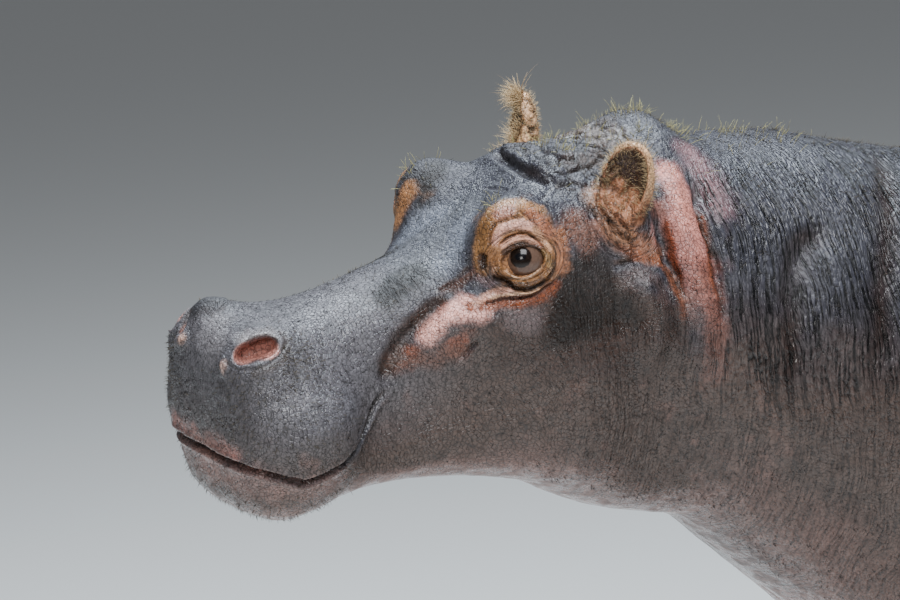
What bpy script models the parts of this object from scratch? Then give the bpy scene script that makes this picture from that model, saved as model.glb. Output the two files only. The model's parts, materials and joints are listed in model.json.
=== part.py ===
"""A standing hippopotamus cow, life size, as a still model: closed solids for the head, lower jaw,
neck, trunk, legs, feet, tail, ears, eyes and toenails.

Body frame: metres, +Z up, the animal faces -Y and its left is +X. Floor at Z = 0.
Head frame: x to the animal's left, y back from the tip of the muzzle, z up from the level of the
nostril floor. The head is modelled there, then rolled about the joint of head and neck.
"""

import math
from typing import NamedTuple

import bmesh
import bpy
import numpy as np
from mathutils import Matrix, Vector

# Driving dimensions, in metres and degrees.
MUZZLE_LEVEL = 1.25  # height of the head frame's zero level above the floor
NAPE_BACK = 0.66  # from the tip of the muzzle back to the joint of head and neck
HEAD_ROLL = 5.0  # left side down
EYE_RADIUS = 0.029
EYE_CENTRE = (0.1385, 0.441, 0.119)  # of the left eye, in the head frame
GAP = 0.0004  # between touching solids
VOXEL = 0.010
FLESH_TRIANGLES = 3800
EAR_TRIANGLES = 220
DETAIL_COST = 0.2  # how much more the thinning spares the head and feet
SINK = 0.03  # how far the legs run below the floor before the soles are cut flat
LIMB_SPREAD = 0.275  # from the middle of the body out to the centre of a foot
FRONT_FEET = 0.70  # behind the joint of head and neck
HIND_FEET = 1.98

SIDES = {"left": 1, "right": -1}
HEAD = (
    Matrix.Translation((0, 0, MUZZLE_LEVEL))
    @ Matrix.Rotation(math.radians(HEAD_ROLL), 4, "Y")
    @ Matrix.Translation((0, -NAPE_BACK, 0))
)

COLOURS = {
    "hide": (0.17, 0.13, 0.13, 1),
    "pink_hide": (0.45, 0.24, 0.18, 1),
    "eye": (0.02, 0.014, 0.012, 1),
    "toenail": (0.10, 0.08, 0.07, 1),
}
ROUGHNESS = {"hide": 0.45, "pink_hide": 0.45, "eye": 0.08, "toenail": 0.5}


class Section(NamedTuple):
    """One ring of a loft. over and under are its reach on each side of its widest level."""

    x: float
    y: float
    z: float
    width: float
    over: float
    under: float
    power: float = 2.3


class Mass(NamedTuple):
    """An ellipsoid: its middle, its radii, and its turns in degrees about X, then Y, then Z."""

    centre: tuple
    radii: tuple
    turns: tuple = (0, 0, 0)


# The head behind and above the mouth, in the head frame.
SKULL = [
    Section(0, -0.003, -0.030, 0.106, 0.050, 0.080, 2.6),
    Section(0, 0.014, -0.030, 0.132, 0.070, 0.100, 2.6),
    Section(0, 0.040, -0.035, 0.139, 0.094, 0.110, 2.5),
    Section(0, 0.080, -0.040, 0.133, 0.105, 0.120, 2.4),
    Section(0, 0.140, -0.040, 0.123, 0.108, 0.120, 2.3),
    Section(0, 0.200, -0.030, 0.108, 0.110, 0.125, 2.3),
    Section(0, 0.260, -0.030, 0.105, 0.130, 0.130, 2.3),
    Section(0, 0.320, -0.030, 0.122, 0.144, 0.140, 2.2),
    Section(0, 0.380, -0.020, 0.148, 0.156, 0.150, 2.2),
    Section(0, 0.440, 0.000, 0.172, 0.182, 0.180, 2.2),
    Section(0, 0.500, 0.010, 0.184, 0.212, 0.200, 2.25),
    Section(0, 0.560, 0.010, 0.182, 0.228, 0.210, 2.3),
    Section(0, 0.620, 0.010, 0.178, 0.237, 0.210, 2.3),
    Section(0, 0.680, 0.000, 0.185, 0.257, 0.205, 2.25),
    Section(0, 0.760, -0.010, 0.205, 0.258, 0.205, 2.2),
]

# The lower jaw, from the chin to the angle of the jaw, in the head frame.
JAW = [
    Section(0, 0.006, -0.165, 0.090, 0.030, 0.030, 2.6),
    Section(0, 0.030, -0.165, 0.130, 0.040, 0.050, 2.6),
    Section(0, 0.090, -0.160, 0.148, 0.050, 0.062, 2.5),
    Section(0, 0.160, -0.155, 0.130, 0.050, 0.058, 2.4),
    Section(0, 0.240, -0.150, 0.118, 0.060, 0.055, 2.3),
    Section(0, 0.330, -0.140, 0.130, 0.080, 0.070, 2.3),
    Section(0, 0.430, -0.120, 0.160, 0.100, 0.105, 2.3),
    Section(0, 0.520, -0.110, 0.180, 0.100, 0.130, 2.3),
    Section(0, 0.610, -0.100, 0.178, 0.100, 0.130, 2.3),
    Section(0, 0.700, -0.090, 0.170, 0.100, 0.120, 2.3),
]

# Masses added to both sides of the head, given for the left, in the head frame.
HEAD_PAIRS = [
    Mass((0.100, 0.092, -0.082), (0.090, 0.102, 0.080), (0, 0, -10)),  # pad over the tusk root
    Mass((0.072, 0.085, -0.172), (0.078, 0.078, 0.056)),  # chin over the lower tusk
    Mass((0.076, 0.056, 0.022), (0.046, 0.064, 0.050), (14, -20, -22)),  # nostril mound
    Mass((0.108, 0.449, 0.130), (0.056, 0.080, 0.088), (0, 0, 8)),  # eye mound
    Mass((0.120, 0.450, 0.040), (0.064, 0.110, 0.060), (10, 0, 6)),  # cheekbone
    Mass((0.090, 0.365, 0.005), (0.056, 0.080, 0.050), (20, 0, 14)),  # bulge behind the mouth
    Mass((0.128, 0.606, 0.142), (0.048, 0.046, 0.066)),  # root of the ear
    Mass((0.120, 0.540, -0.060), (0.078, 0.115, 0.120)),  # chewing muscle
    Mass((0.112, 0.550, -0.150), (0.074, 0.105, 0.086)),  # angle of the jaw
    Mass((0.166, 0.705, 0.010), (0.050, 0.044, 0.165), (-6, 0, 0)),  # roll behind ear and jaw
]
# Masses of the head that stand once: on its middle line, or held higher on one side.
HEAD_SINGLES = [
    Mass((0, 0.045, -0.080), (0.100, 0.055, 0.062)),  # middle of the upper lip
    Mass((-0.062, 0.047, 0.051), (0.027, 0.041, 0.041), (10, 0, 20)),  # raised right nostril flap
    Mass((0.112, 0.036, 0.008), (0.032, 0.042, 0.032), (0, 0, -14)),  # outer rim, left nostril
    Mass((-0.110, 0.030, 0.022), (0.034, 0.042, 0.038), (0, 0, 14)),  # outer rim, right nostril
    Mass((0.110, 0.438, 0.162), (0.050, 0.066, 0.060)),  # left brow
    Mass((-0.113, 0.432, 0.172), (0.050, 0.068, 0.061)),  # right brow
    Mass((-0.008, 0.528, 0.207), (0.114, 0.034, 0.048)),  # roll across the forehead
    Mass((0, 0.585, 0.150), (0.134, 0.105, 0.098)),  # forehead
    Mass((0, 0.712, 0.218), (0.108, 0.054, 0.069)),  # crown
]

# Neck and trunk, from inside the head to the rump, in the body frame.
TORSO = [
    Section(0, -0.06, 1.23, 0.180, 0.240, 0.200, 2.2),
    Section(0, 0.05, 1.20, 0.225, 0.292, 0.250, 2.2),
    Section(0, 0.17, 1.15, 0.264, 0.325, 0.300, 2.2),
    Section(0, 0.30, 1.09, 0.300, 0.377, 0.355, 2.2),
    Section(0, 0.44, 1.02, 0.340, 0.408, 0.410, 2.2),
    Section(0, 0.60, 0.97, 0.385, 0.428, 0.455, 2.2),
    Section(0, 0.80, 0.93, 0.432, 0.478, 0.480, 2.15),
    Section(0, 1.05, 0.90, 0.475, 0.500, 0.500, 2.1),
    Section(0, 1.35, 0.88, 0.505, 0.510, 0.515, 2.1),
    Section(0, 1.62, 0.89, 0.500, 0.510, 0.525, 2.1),
    Section(0, 1.86, 0.92, 0.462, 0.487, 0.480, 2.1),
    Section(0, 2.06, 0.95, 0.400, 0.437, 0.400, 2.1),
    Section(0, 2.22, 0.97, 0.310, 0.350, 0.310, 2.1),
    Section(0, 2.33, 0.98, 0.195, 0.225, 0.215, 2.1),
    Section(0, 2.38, 0.98, 0.090, 0.110, 0.110, 2.0),
]

# Legs, from inside the trunk down: x out from the spread, y back from the foot, over to the front.
FRONT_LEG = [
    Section(-0.020, -0.02, 1.06, 0.120, 0.190, 0.200, 2.0),
    Section(0.030, -0.01, 0.92, 0.150, 0.225, 0.240, 2.1),
    Section(0.045, 0.01, 0.76, 0.150, 0.200, 0.225, 2.1),
    Section(0.030, 0.03, 0.62, 0.133, 0.165, 0.190, 2.1),
    Section(0.015, 0.04, 0.50, 0.113, 0.135, 0.150, 2.1),
    Section(0.005, 0.03, 0.38, 0.098, 0.112, 0.118, 2.1),
    Section(0.000, 0.02, 0.27, 0.090, 0.100, 0.098, 2.1),
    Section(0.000, 0.01, 0.18, 0.089, 0.098, 0.095, 2.1),
    Section(0.000, 0.00, 0.11, 0.098, 0.106, 0.105, 2.1),
    Section(0.000, 0.00, 0.05, 0.106, 0.108, 0.118, 2.2),
    Section(0.000, 0.00, -SINK, 0.110, 0.110, 0.124, 2.2),
]
HIND_LEG = [
    Section(-0.060, -0.08, 1.12, 0.130, 0.200, 0.190, 2.0),
    Section(0.010, -0.08, 0.96, 0.165, 0.270, 0.240, 2.1),
    Section(0.035, -0.08, 0.80, 0.172, 0.265, 0.235, 2.1),
    Section(0.035, -0.07, 0.66, 0.152, 0.220, 0.190, 2.1),
    Section(0.025, -0.03, 0.53, 0.122, 0.165, 0.140, 2.1),
    Section(0.010, 0.03, 0.41, 0.098, 0.122, 0.112, 2.1),
    Section(0.005, 0.05, 0.31, 0.084, 0.096, 0.096, 2.1),
    Section(0.000, 0.04, 0.21, 0.080, 0.090, 0.086, 2.1),
    Section(0.000, 0.02, 0.13, 0.088, 0.098, 0.094, 2.1),
    Section(0.000, 0.00, 0.06, 0.098, 0.104, 0.106, 2.2),
    Section(0.000, 0.00, -SINK, 0.102, 0.106, 0.112, 2.2),
]

# Masses added to the trunk and throat, in the body frame.
BODY_PAIRS = [
    Mass((0.240, 0.67, 0.94), (0.168, 0.24, 0.34)),  # shoulder
    Mass((0.205, 1.99, 0.98), (0.230, 0.31, 0.34)),  # buttock
]
BODY_SINGLES = [
    Mass((0, 1.45, 0.66), (0.42, 0.60, 0.29)),  # lowest part of the belly
    Mass((0, 0.02, 1.04), (0.150, 0.24, 0.11), (-14, 0, 0)),  # throat
]

# Cutting lines between the solids: side views in the head frame, then in the body frame.
NAPE_LINE = [(0, 0.675, 0.45), (0, 0.655, -0.45)]
MOUTH_LINE = [
    (0, -0.050, -0.122),
    (0, 0.020, -0.126),
    (0, 0.080, -0.146),
    (0, 0.150, -0.128),
    (0, 0.215, -0.066),
    (0, 0.270, -0.022),
    (0, 0.340, -0.040),
    (0, 0.460, -0.085),
    (0, 0.720, -0.105),
]
SHOULDER_LINE = [(0, 0.56, 1.60), (0, 0.36, 0.40)]
TAIL_LINE = [
    (0, 2.250, 1.400),
    (0, 2.348, 1.185),
    (0, 2.384, 1.080),
    (0, 2.394, 0.960),
    (0, 2.385, 0.850),
    (0, 2.300, 0.700),
]
LEG_ARCH = [
    (-0.29, -0.40),
    (-0.29, 0.52),
    (-0.19, 0.68),
    (0.00, 0.74),
    (0.19, 0.68),
    (0.29, 0.52),
    (0.29, -0.40),
]
ARCH_MIDDLE = (0.36, 0.0)  # x where the arch stands at its own height
ARCH_SLOPE = (0.34, 0.30)  # half the arch's depth, outward and up

LID_OPENING = (0.170, 0.440, 0.118)  # middle of the left opening between the lids
LID_RADII = (0.013, 0.029, 0.021)
NOSTRILS = {1: (0.094, 0.040, 0.034), -1: (-0.106, 0.035, 0.036)}  # middle of each pit
NOSTRIL_RADII = (0.022, 0.034, 0.020)
EAR_ROOT = (0.136, 0.598, 0.160)
EAR_RISE = {1: 0.048, -1: 0.062}  # from its root up to the middle of the ear
EAR_TURNS = {1: (4, 16, 42), -1: (-4, 4, 24)}  # degrees, the two ears held apart
EAR_RADII = (0.041, 0.025, 0.068)
EAR_HOLLOW = (0.032, 0.027, 0.056)


class Limb(NamedTuple):
    """One leg: its sections, where its foot stands, and how far forward or back it is set."""

    name: str
    side: int
    sections: list
    foot_back: float
    stride: float


LIMBS = [
    Limb("front_left", 1, FRONT_LEG, FRONT_FEET, -0.05),
    Limb("front_right", -1, FRONT_LEG, FRONT_FEET, 0.04),
    Limb("hind_left", 1, HIND_LEG, HIND_FEET, 0.05),
    Limb("hind_right", -1, HIND_LEG, HIND_FEET, -0.06),
]
TOE_ANGLES = (-66, -22, 22, 66)  # from straight ahead, seen from above
TOE_REACH = 0.098  # from the middle of the foot out to a toe's middle
TOE_RADII = (0.033, 0.054, 0.060)
NAIL_REACH = 0.133
NAIL_HEIGHT = 0.034
NAIL_RADII = (0.025, 0.017, 0.031)
STRIDE_TOP = 0.90  # the leg leans from this height down

# The tail's centre line and size, in the body frame.
TAIL = [
    Section(0, 2.28, 1.22, 0.056, 0.060, 0.050, 2.0),
    Section(0, 2.36, 1.15, 0.052, 0.052, 0.046, 2.0),
    Section(0, 2.410, 1.05, 0.042, 0.042, 0.040, 2.0),
    Section(0, 2.425, 0.95, 0.032, 0.032, 0.030, 2.0),
    Section(0, 2.428, 0.86, 0.024, 0.028, 0.027, 2.0),
    Section(0, 2.426, 0.78, 0.018, 0.028, 0.030, 2.0),
    Section(0, 2.422, 0.73, 0.014, 0.022, 0.024, 2.0),
]


def clear_scene():
    """Removes what the startup file holds."""
    for obj in list(bpy.data.objects):
        bpy.data.objects.remove(obj)


def monotone_slopes(steps, values):
    """The slopes of a monotone cubic curve through the values."""
    gaps = np.diff(steps)
    rises = np.diff(values) / gaps
    slopes = np.zeros_like(values)
    slopes[0], slopes[-1] = rises[0], rises[-1]
    for i in range(1, len(values) - 1):
        if rises[i - 1] * rises[i] > 0:
            before = 2 * gaps[i] + gaps[i - 1]
            after = gaps[i] + 2 * gaps[i - 1]
            slopes[i] = (before + after) / (before / rises[i - 1] + after / rises[i])
    return slopes


def refined(sections, between=4):
    """The sections with more of them between, on smooth curves through every size."""
    table = np.array(sections, float)
    steps = np.concatenate([[0], np.cumsum(np.linalg.norm(np.diff(table[:, :3], axis=0), axis=1))])
    slopes = np.stack([monotone_slopes(steps, column) for column in table.T], axis=1)
    fine = []
    for i, gap in enumerate(np.diff(steps)):
        for t in np.arange(between) / between:
            start = (1 + 2 * t) * (1 - t) ** 2 * table[i] + t * (1 - t) ** 2 * gap * slopes[i]
            end = t * t * (3 - 2 * t) * table[i + 1] + t * t * (t - 1) * gap * slopes[i + 1]
            fine.append(Section(*(start + end)))
    return fine + [sections[-1]]


def ring_points(section, flat, count):
    """The points of one ring. A flat ring lies level, with over to the front."""
    for step in range(count):
        angle = math.tau * step / count
        across, along = math.cos(angle), math.sin(angle)
        reach = section.over if along > 0 else section.under
        side = section.width * math.copysign(abs(across) ** (2 / section.power), across)
        rise = reach * math.copysign(abs(along) ** (2 / section.power), along)
        if flat:
            yield Vector((section.x + side, section.y - rise, section.z))
        else:
            yield Vector((section.x + side, section.y, section.z + rise))


def add_loft(bm, sections, place=Matrix.Identity(4), flat=False, count=36, between=4):
    """A closed body through the sections, added to bm."""
    rings = []
    faces = set(bm.faces)
    for section in refined(sections, between):
        verts = [bm.verts.new(place @ point) for point in ring_points(section, flat, count)]
        rings.append([bm.edges.new((a, b)) for a, b in zip(verts, verts[1:] + verts[:1])])
    for first, second in zip(rings, rings[1:]):
        bmesh.ops.bridge_loops(bm, edges=first + second)
    for end in (rings[0], rings[-1]):
        bmesh.ops.contextual_create(bm, geom=end)
    bmesh.ops.recalc_face_normals(bm, faces=[f for f in bm.faces if f not in faces])


def ball_matrix(centre, radii, turns=(0, 0, 0)):
    """Places a unit ball: radii along x, y and z, turned by degrees about X, then Y, then Z."""
    turned = Matrix.Identity(4)
    for axis, degrees in zip("XYZ", turns):
        turned = Matrix.Rotation(math.radians(degrees), 4, axis) @ turned
    return Matrix.Translation(centre) @ turned @ Matrix.Diagonal((*radii, 1))


def add_ball(bm, centre, radii, turns=(0, 0, 0), place=Matrix.Identity(4), subdivisions=4):
    """An ellipsoid, added to bm."""
    matrix = place @ ball_matrix(centre, radii, turns)
    bmesh.ops.create_icosphere(bm, subdivisions=subdivisions, radius=1, matrix=matrix)


def add_head_pair(bm, centre, radii, turns=(0, 0, 0)):
    """An ellipsoid of the head's left side and its mirror image on the right."""
    for side in SIDES.values():
        mirrored = (side * centre[0], centre[1], centre[2])
        add_ball(bm, mirrored, radii, (turns[0], side * turns[1], side * turns[2]), HEAD)


def add_head(bm):
    """The masses of the head and lower jaw."""
    add_loft(bm, SKULL, HEAD)
    add_loft(bm, JAW, HEAD)
    for mass in HEAD_PAIRS:
        add_head_pair(bm, *mass)
    for mass in HEAD_SINGLES:
        add_ball(bm, *mass, place=HEAD)


def add_legs(bm):
    """The four legs, with the toes of each foot."""
    for limb in LIMBS:
        sections = []
        for part in limb.sections:
            lean = limb.stride * (1 - min(max(part.z, 0) / STRIDE_TOP, 1))
            x = limb.side * (LIMB_SPREAD + part.x)
            sections.append(part._replace(x=x, y=limb.foot_back + part.y + lean))
        add_loft(bm, sections, flat=True, count=28)
        for angle in TOE_ANGLES:
            centre = toe_centre(limb, angle, TOE_REACH)
            add_ball(bm, centre, TOE_RADII, (24, 0, angle), subdivisions=3)


def toe_centre(limb, angle, reach, height=0.040):
    """A point of one toe: reach out from the middle of the foot, at an angle from ahead."""
    turn = math.radians(angle)
    x = limb.side * LIMB_SPREAD + reach * math.sin(turn)
    y = limb.foot_back + limb.stride - reach * math.cos(turn)
    return Vector((x, y, height))


def object_of(name, bm):
    """A scene object that holds bm's mesh."""
    mesh = bpy.data.meshes.new(name)
    bm.to_mesh(mesh)
    bm.free()
    obj = bpy.data.objects.new(name, mesh)
    bpy.context.scene.collection.objects.link(obj)
    return obj


def settle_modifiers(obj):
    """Replaces the object's mesh by its evaluated one and drops the modifiers."""
    graph = bpy.context.evaluated_depsgraph_get()
    mesh = bpy.data.meshes.new_from_object(obj.evaluated_get(graph))
    obj.modifiers.clear()
    obj.vertex_groups.clear()
    obj.data = mesh


def fade(value, start, end):
    """1 up to start, 0 from end, straight between."""
    return min(max((end - value) / (end - start), 0), 1)


def detail_weight(point, feet=1.0):
    """How much fine shape a place holds: 1 on the head and tail, feet on the feet, else 0."""
    on_head = fade((HEAD.inverted() @ point).y, 0.62, 0.76)
    on_feet = feet * fade(point.z, 0.12, 0.30)
    on_tail = 1 - fade(point.y, 2.34, 2.40)
    return max(on_head, on_feet, on_tail)


def weigh(obj, name, weight):
    """A vertex group whose weight at each point is weight(point)."""
    group = obj.vertex_groups.new(name=name)
    for vertex in obj.data.vertices:
        group.add([vertex.index], weight(vertex.co), "REPLACE")
    return name


def soften(obj, iterations, weight):
    """Smooths the object's surface, each point as much as weight(point) says."""
    group = weigh(obj, "soft", weight)
    smooth = obj.modifiers.new("soften", "SMOOTH")
    smooth.factor = 0.5
    smooth.iterations = iterations
    smooth.vertex_group = group
    settle_modifiers(obj)


def make_flesh():
    """The whole animal without ears, eyes and toenails, as one smooth closed body."""
    bm = bmesh.new()
    add_head(bm)
    add_loft(bm, TORSO, count=48)
    for mass in BODY_PAIRS:
        for side in SIDES.values():
            add_ball(bm, (side * mass.centre[0], *mass.centre[1:]), mass.radii)
    for mass in BODY_SINGLES:
        add_ball(bm, *mass)
    add_loft(bm, TAIL, flat=True, count=16)
    add_legs(bm)
    flesh = object_of("flesh", bm)

    remesh = flesh.modifiers.new("remesh", "REMESH")
    remesh.mode = "VOXEL"
    remesh.voxel_size = VOXEL
    settle_modifiers(flesh)
    soften(flesh, 8, lambda point: 1 - 0.6 * fade(point.z, 0.10, 0.20))
    soften(flesh, 120, lambda point: 1 - detail_weight(point))
    thin(flesh, FLESH_TRIANGLES, lambda point: 1 - 0.9 * detail_weight(point, 0.6))
    cut_soles(flesh)
    return flesh


def thin(obj, triangles, weight=lambda point: 1):
    """Leaves so many triangles, more of them where weight(point) is low."""
    now = sum(len(face.vertices) - 2 for face in obj.data.polygons)
    decimate = obj.modifiers.new("thin", "DECIMATE")
    decimate.ratio = triangles / now
    decimate.vertex_group = weigh(obj, "plain", weight)
    decimate.vertex_group_factor = DETAIL_COST
    decimate.use_collapse_triangulate = True
    settle_modifiers(obj)


def cut_soles(flesh):
    """Cuts the feet flat at the floor."""
    bm = bmesh.new()
    bm.from_mesh(flesh.data)
    geometry = bm.verts[:] + bm.edges[:] + bm.faces[:]
    bmesh.ops.bisect_plane(
        bm, geom=geometry, plane_co=(0, 0, 0), plane_no=(0, 0, 1), clear_inner=True
    )
    rims = [edge for edge in bm.edges if edge.is_boundary]
    bmesh.ops.holes_fill(bm, edges=rims)
    bmesh.ops.recalc_face_normals(bm, faces=bm.faces)
    bm.to_mesh(flesh.data)
    bm.free()


def carve(obj, cutter):
    """Takes the cutter's shape out of obj, and removes the cutter."""
    modifier = obj.modifiers.new("carve", "BOOLEAN")
    modifier.operation = "DIFFERENCE"
    modifier.solver = "EXACT"
    modifier.object = cutter
    settle_modifiers(obj)
    bpy.data.objects.remove(cutter)


def sheet(points, direction, place=Matrix.Identity(4)):
    """A thin cutting sheet, as thick as GAP: a row of points drawn out both ways along direction."""
    bm = bmesh.new()
    reach = Vector(direction)
    verts = [bm.verts.new(Vector(point) - reach) for point in points]
    edges = [bm.edges.new(pair) for pair in zip(verts, verts[1:])]
    drawn = bmesh.ops.extrude_edge_only(bm, edges=edges)["geom"]
    moved = [item for item in drawn if isinstance(item, bmesh.types.BMVert)]
    bmesh.ops.translate(bm, verts=moved, vec=2 * reach)
    bmesh.ops.transform(bm, matrix=place, verts=bm.verts)
    obj = object_of("sheet", bm)
    thicken = obj.modifiers.new("thicken", "SOLIDIFY")
    thicken.thickness = GAP
    thicken.offset = 0
    thicken.use_even_offset = True
    settle_modifiers(obj)
    return obj


def split(obj, cutter, axis):
    """Cuts obj in two with a sheet; gives the pieces in order along the axis."""
    carve(obj, cutter)
    bm = bmesh.new()
    bm.from_mesh(obj.data)
    reached = set()
    front = [bm.verts[:][0]]
    while front:
        vert = front.pop()
        if vert not in reached:
            reached.add(vert)
            front.extend(edge.other_vert(vert) for edge in vert.link_edges)
    other = bm.copy()
    apart = {vert.index for vert in reached}
    bmesh.ops.delete(bm, geom=[v for v in bm.verts if v.index not in apart], context="VERTS")
    bmesh.ops.delete(other, geom=[v for v in other.verts if v.index in apart], context="VERTS")
    pieces = [object_of("piece", bm), object_of("piece", other)]
    bpy.data.objects.remove(obj)
    return sorted(pieces, key=lambda piece: middle(piece)[axis])


def middle(obj):
    """The middle of the object's bounding box."""
    corners = np.array(obj.bound_box)
    return (corners.min(axis=0) + corners.max(axis=0)) / 2


def finish(obj, name, kind):
    """Names the solid and gives it its own material."""
    obj.name = name
    obj.data.name = name
    material = bpy.data.materials.new(name)
    material.use_nodes = True
    shader = material.node_tree.nodes["Principled BSDF"]
    shader.inputs["Base Color"].default_value = COLOURS[kind]
    shader.inputs["Roughness"].default_value = ROUGHNESS[kind]
    material.diffuse_color = COLOURS[kind]
    obj.data.materials.clear()
    obj.data.materials.append(material)
    obj.data.shade_smooth()
    obj.data.set_sharp_from_angle(angle=math.radians(50))
    SOLIDS.append(obj)


def ball(centre, radii, turns=(0, 0, 0), place=Matrix.Identity(4), subdivisions=3):
    """An ellipsoid as an object of its own."""
    bm = bmesh.new()
    add_ball(bm, centre, radii, turns, place, subdivisions)
    return object_of("ball", bm)


def part_flesh(flesh):
    """Cuts the flesh into head, lower jaw, neck, trunk, tail and legs."""
    axis_y, axis_z = 1, 2
    head, body = split(flesh, sheet(NAPE_LINE, (0.7, 0, 0), HEAD), axis_y)
    jaw, head = split(head, sheet(MOUTH_LINE, (0.4, 0, 0), HEAD), axis_z)
    neck, body = split(body, sheet(SHOULDER_LINE, (0.9, 0, 0)), axis_y)
    body, tail = split(body, sheet(TAIL_LINE, (0.15, 0, 0)), axis_y)
    finish(jaw, "lower_jaw", "hide")
    finish(neck, "neck", "hide")
    finish(tail, "tail", "hide")
    for limb in LIMBS:
        arch = [(limb.side * ARCH_MIDDLE[0], limb.foot_back + y, z) for y, z in LEG_ARCH]
        slope = (limb.side * ARCH_SLOPE[0], 0, ARCH_SLOPE[1])
        leg, body = split(body, sheet(arch, slope), axis_z)
        add_toenails(leg, limb)
        finish(leg, f"leg_{limb.name}", "hide")
    finish(body, "trunk", "hide")
    return head


def add_toenails(leg, limb):
    """A nail for each toe, on the foot's surface."""
    for number, angle in enumerate(TOE_ANGLES, 1):
        centre = toe_centre(limb, angle, NAIL_REACH, NAIL_HEIGHT)
        nail = ball(centre, NAIL_RADII, (20, 0, angle), subdivisions=2)
        for clearance in (GAP, 0):
            carve(nail, object_of("clearance", grown(leg, clearance)))
        finish(largest(nail), f"toenail_{limb.name}_{number}", "toenail")


def finish_head(head):
    """The nostrils, eyes and ears."""
    for name, side in SIDES.items():
        centre = (side * EYE_CENTRE[0], EYE_CENTRE[1], EYE_CENTRE[2])
        carve(head, ball(centre, [EYE_RADIUS + GAP] * 3, place=HEAD))
        finish(ball(centre, [EYE_RADIUS] * 3, place=HEAD), f"eye_{name}", "eye")
        opening = (side * LID_OPENING[0], LID_OPENING[1], LID_OPENING[2])
        carve(head, ball(opening, LID_RADII, (-8, 0, side * 10), HEAD, 2))
        carve(head, ball(NOSTRILS[side], NOSTRIL_RADII, (25, 0, side * -21), HEAD, 2))
        ear = make_ear(side)
        carve(ear, object_of("clearance", grown(head, GAP)))
        finish(largest(ear), f"ear_{name}", "pink_hide")
    finish(head, "head", "hide")


def grown(obj, distance):
    """A mesh like the object's, moved out by a distance."""
    bm = bmesh.new()
    bm.from_mesh(obj.data)
    bm.normal_update()
    shifts = [(vert, vert.normal * distance) for vert in bm.verts]
    for vert, shift in shifts:
        vert.co += shift
    return bm


def largest(obj):
    """The object without the crumbs that a cut left."""
    bm = bmesh.new()
    bm.from_mesh(obj.data)
    groups = []
    unseen = set(bm.verts)
    while unseen:
        group = set()
        front = [next(iter(unseen))]
        while front:
            vert = front.pop()
            if vert in unseen:
                unseen.remove(vert)
                group.add(vert)
                front.extend(edge.other_vert(vert) for edge in vert.link_edges)
        groups.append(group)
    groups.sort(key=len)
    for group in groups[:-1]:
        bmesh.ops.delete(bm, geom=list(group), context="VERTS")
    bm.to_mesh(obj.data)
    bm.free()
    return obj


def make_ear(side):
    """A cupped ear that stands on its root."""
    turns = EAR_TURNS[side]
    tilt = (turns[0], side * turns[1], side * turns[2])
    place = HEAD @ Matrix.Translation((side * EAR_ROOT[0], EAR_ROOT[1], EAR_ROOT[2]))
    frame = place @ ball_matrix((0, 0, 0), (1, 1, 1), tilt)
    ear = ball((0, 0, EAR_RISE[side]), EAR_RADII, place=frame)
    hollow = (0, -0.020, EAR_RISE[side] + 0.011)
    carve(ear, ball(hollow, EAR_HOLLOW, place=frame))
    thin(ear, EAR_TRIANGLES)
    return ear


SOLIDS = []


def main():
    """Builds every solid."""
    clear_scene()
    finish_head(part_flesh(make_flesh()))
    corners = [Vector(corner) for obj in SOLIDS for corner in obj.bound_box]
    low = Vector([min(corner[axis] for corner in corners) for axis in range(3)])
    high = Vector([max(corner[axis] for corner in corners) for axis in range(3)])
    shift = Vector((-(low.x + high.x) / 2, -(low.y + high.y) / 2, -low.z))
    for obj in SOLIDS:
        obj.data.transform(Matrix.Translation(shift))
    return shift


OFFSET = main()
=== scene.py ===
"""A still, life-size hippopotamus cow: one wet, creased hide with sparse bristles, eyes and toenails.

Frame: metres, +Z up, the animal faces -Y and its left is +X. The head has a frame of its own, found
from the eyes: x to its left, y back from the tip of the muzzle, z up from the nostril floor. What
is given for the left side with a fold, swelling or patch is mirrored to the right unless it says so.
"""

import json
import logging
import math
from collections.abc import Iterable, Iterator
from contextlib import contextmanager
from dataclasses import dataclass
from enum import Enum

import bmesh
import bpy
import numpy as np
from bpy.types import Material, Mesh, Node, NodeSocket, NodeTree, Object
from mathutils import Matrix, Vector

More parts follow.
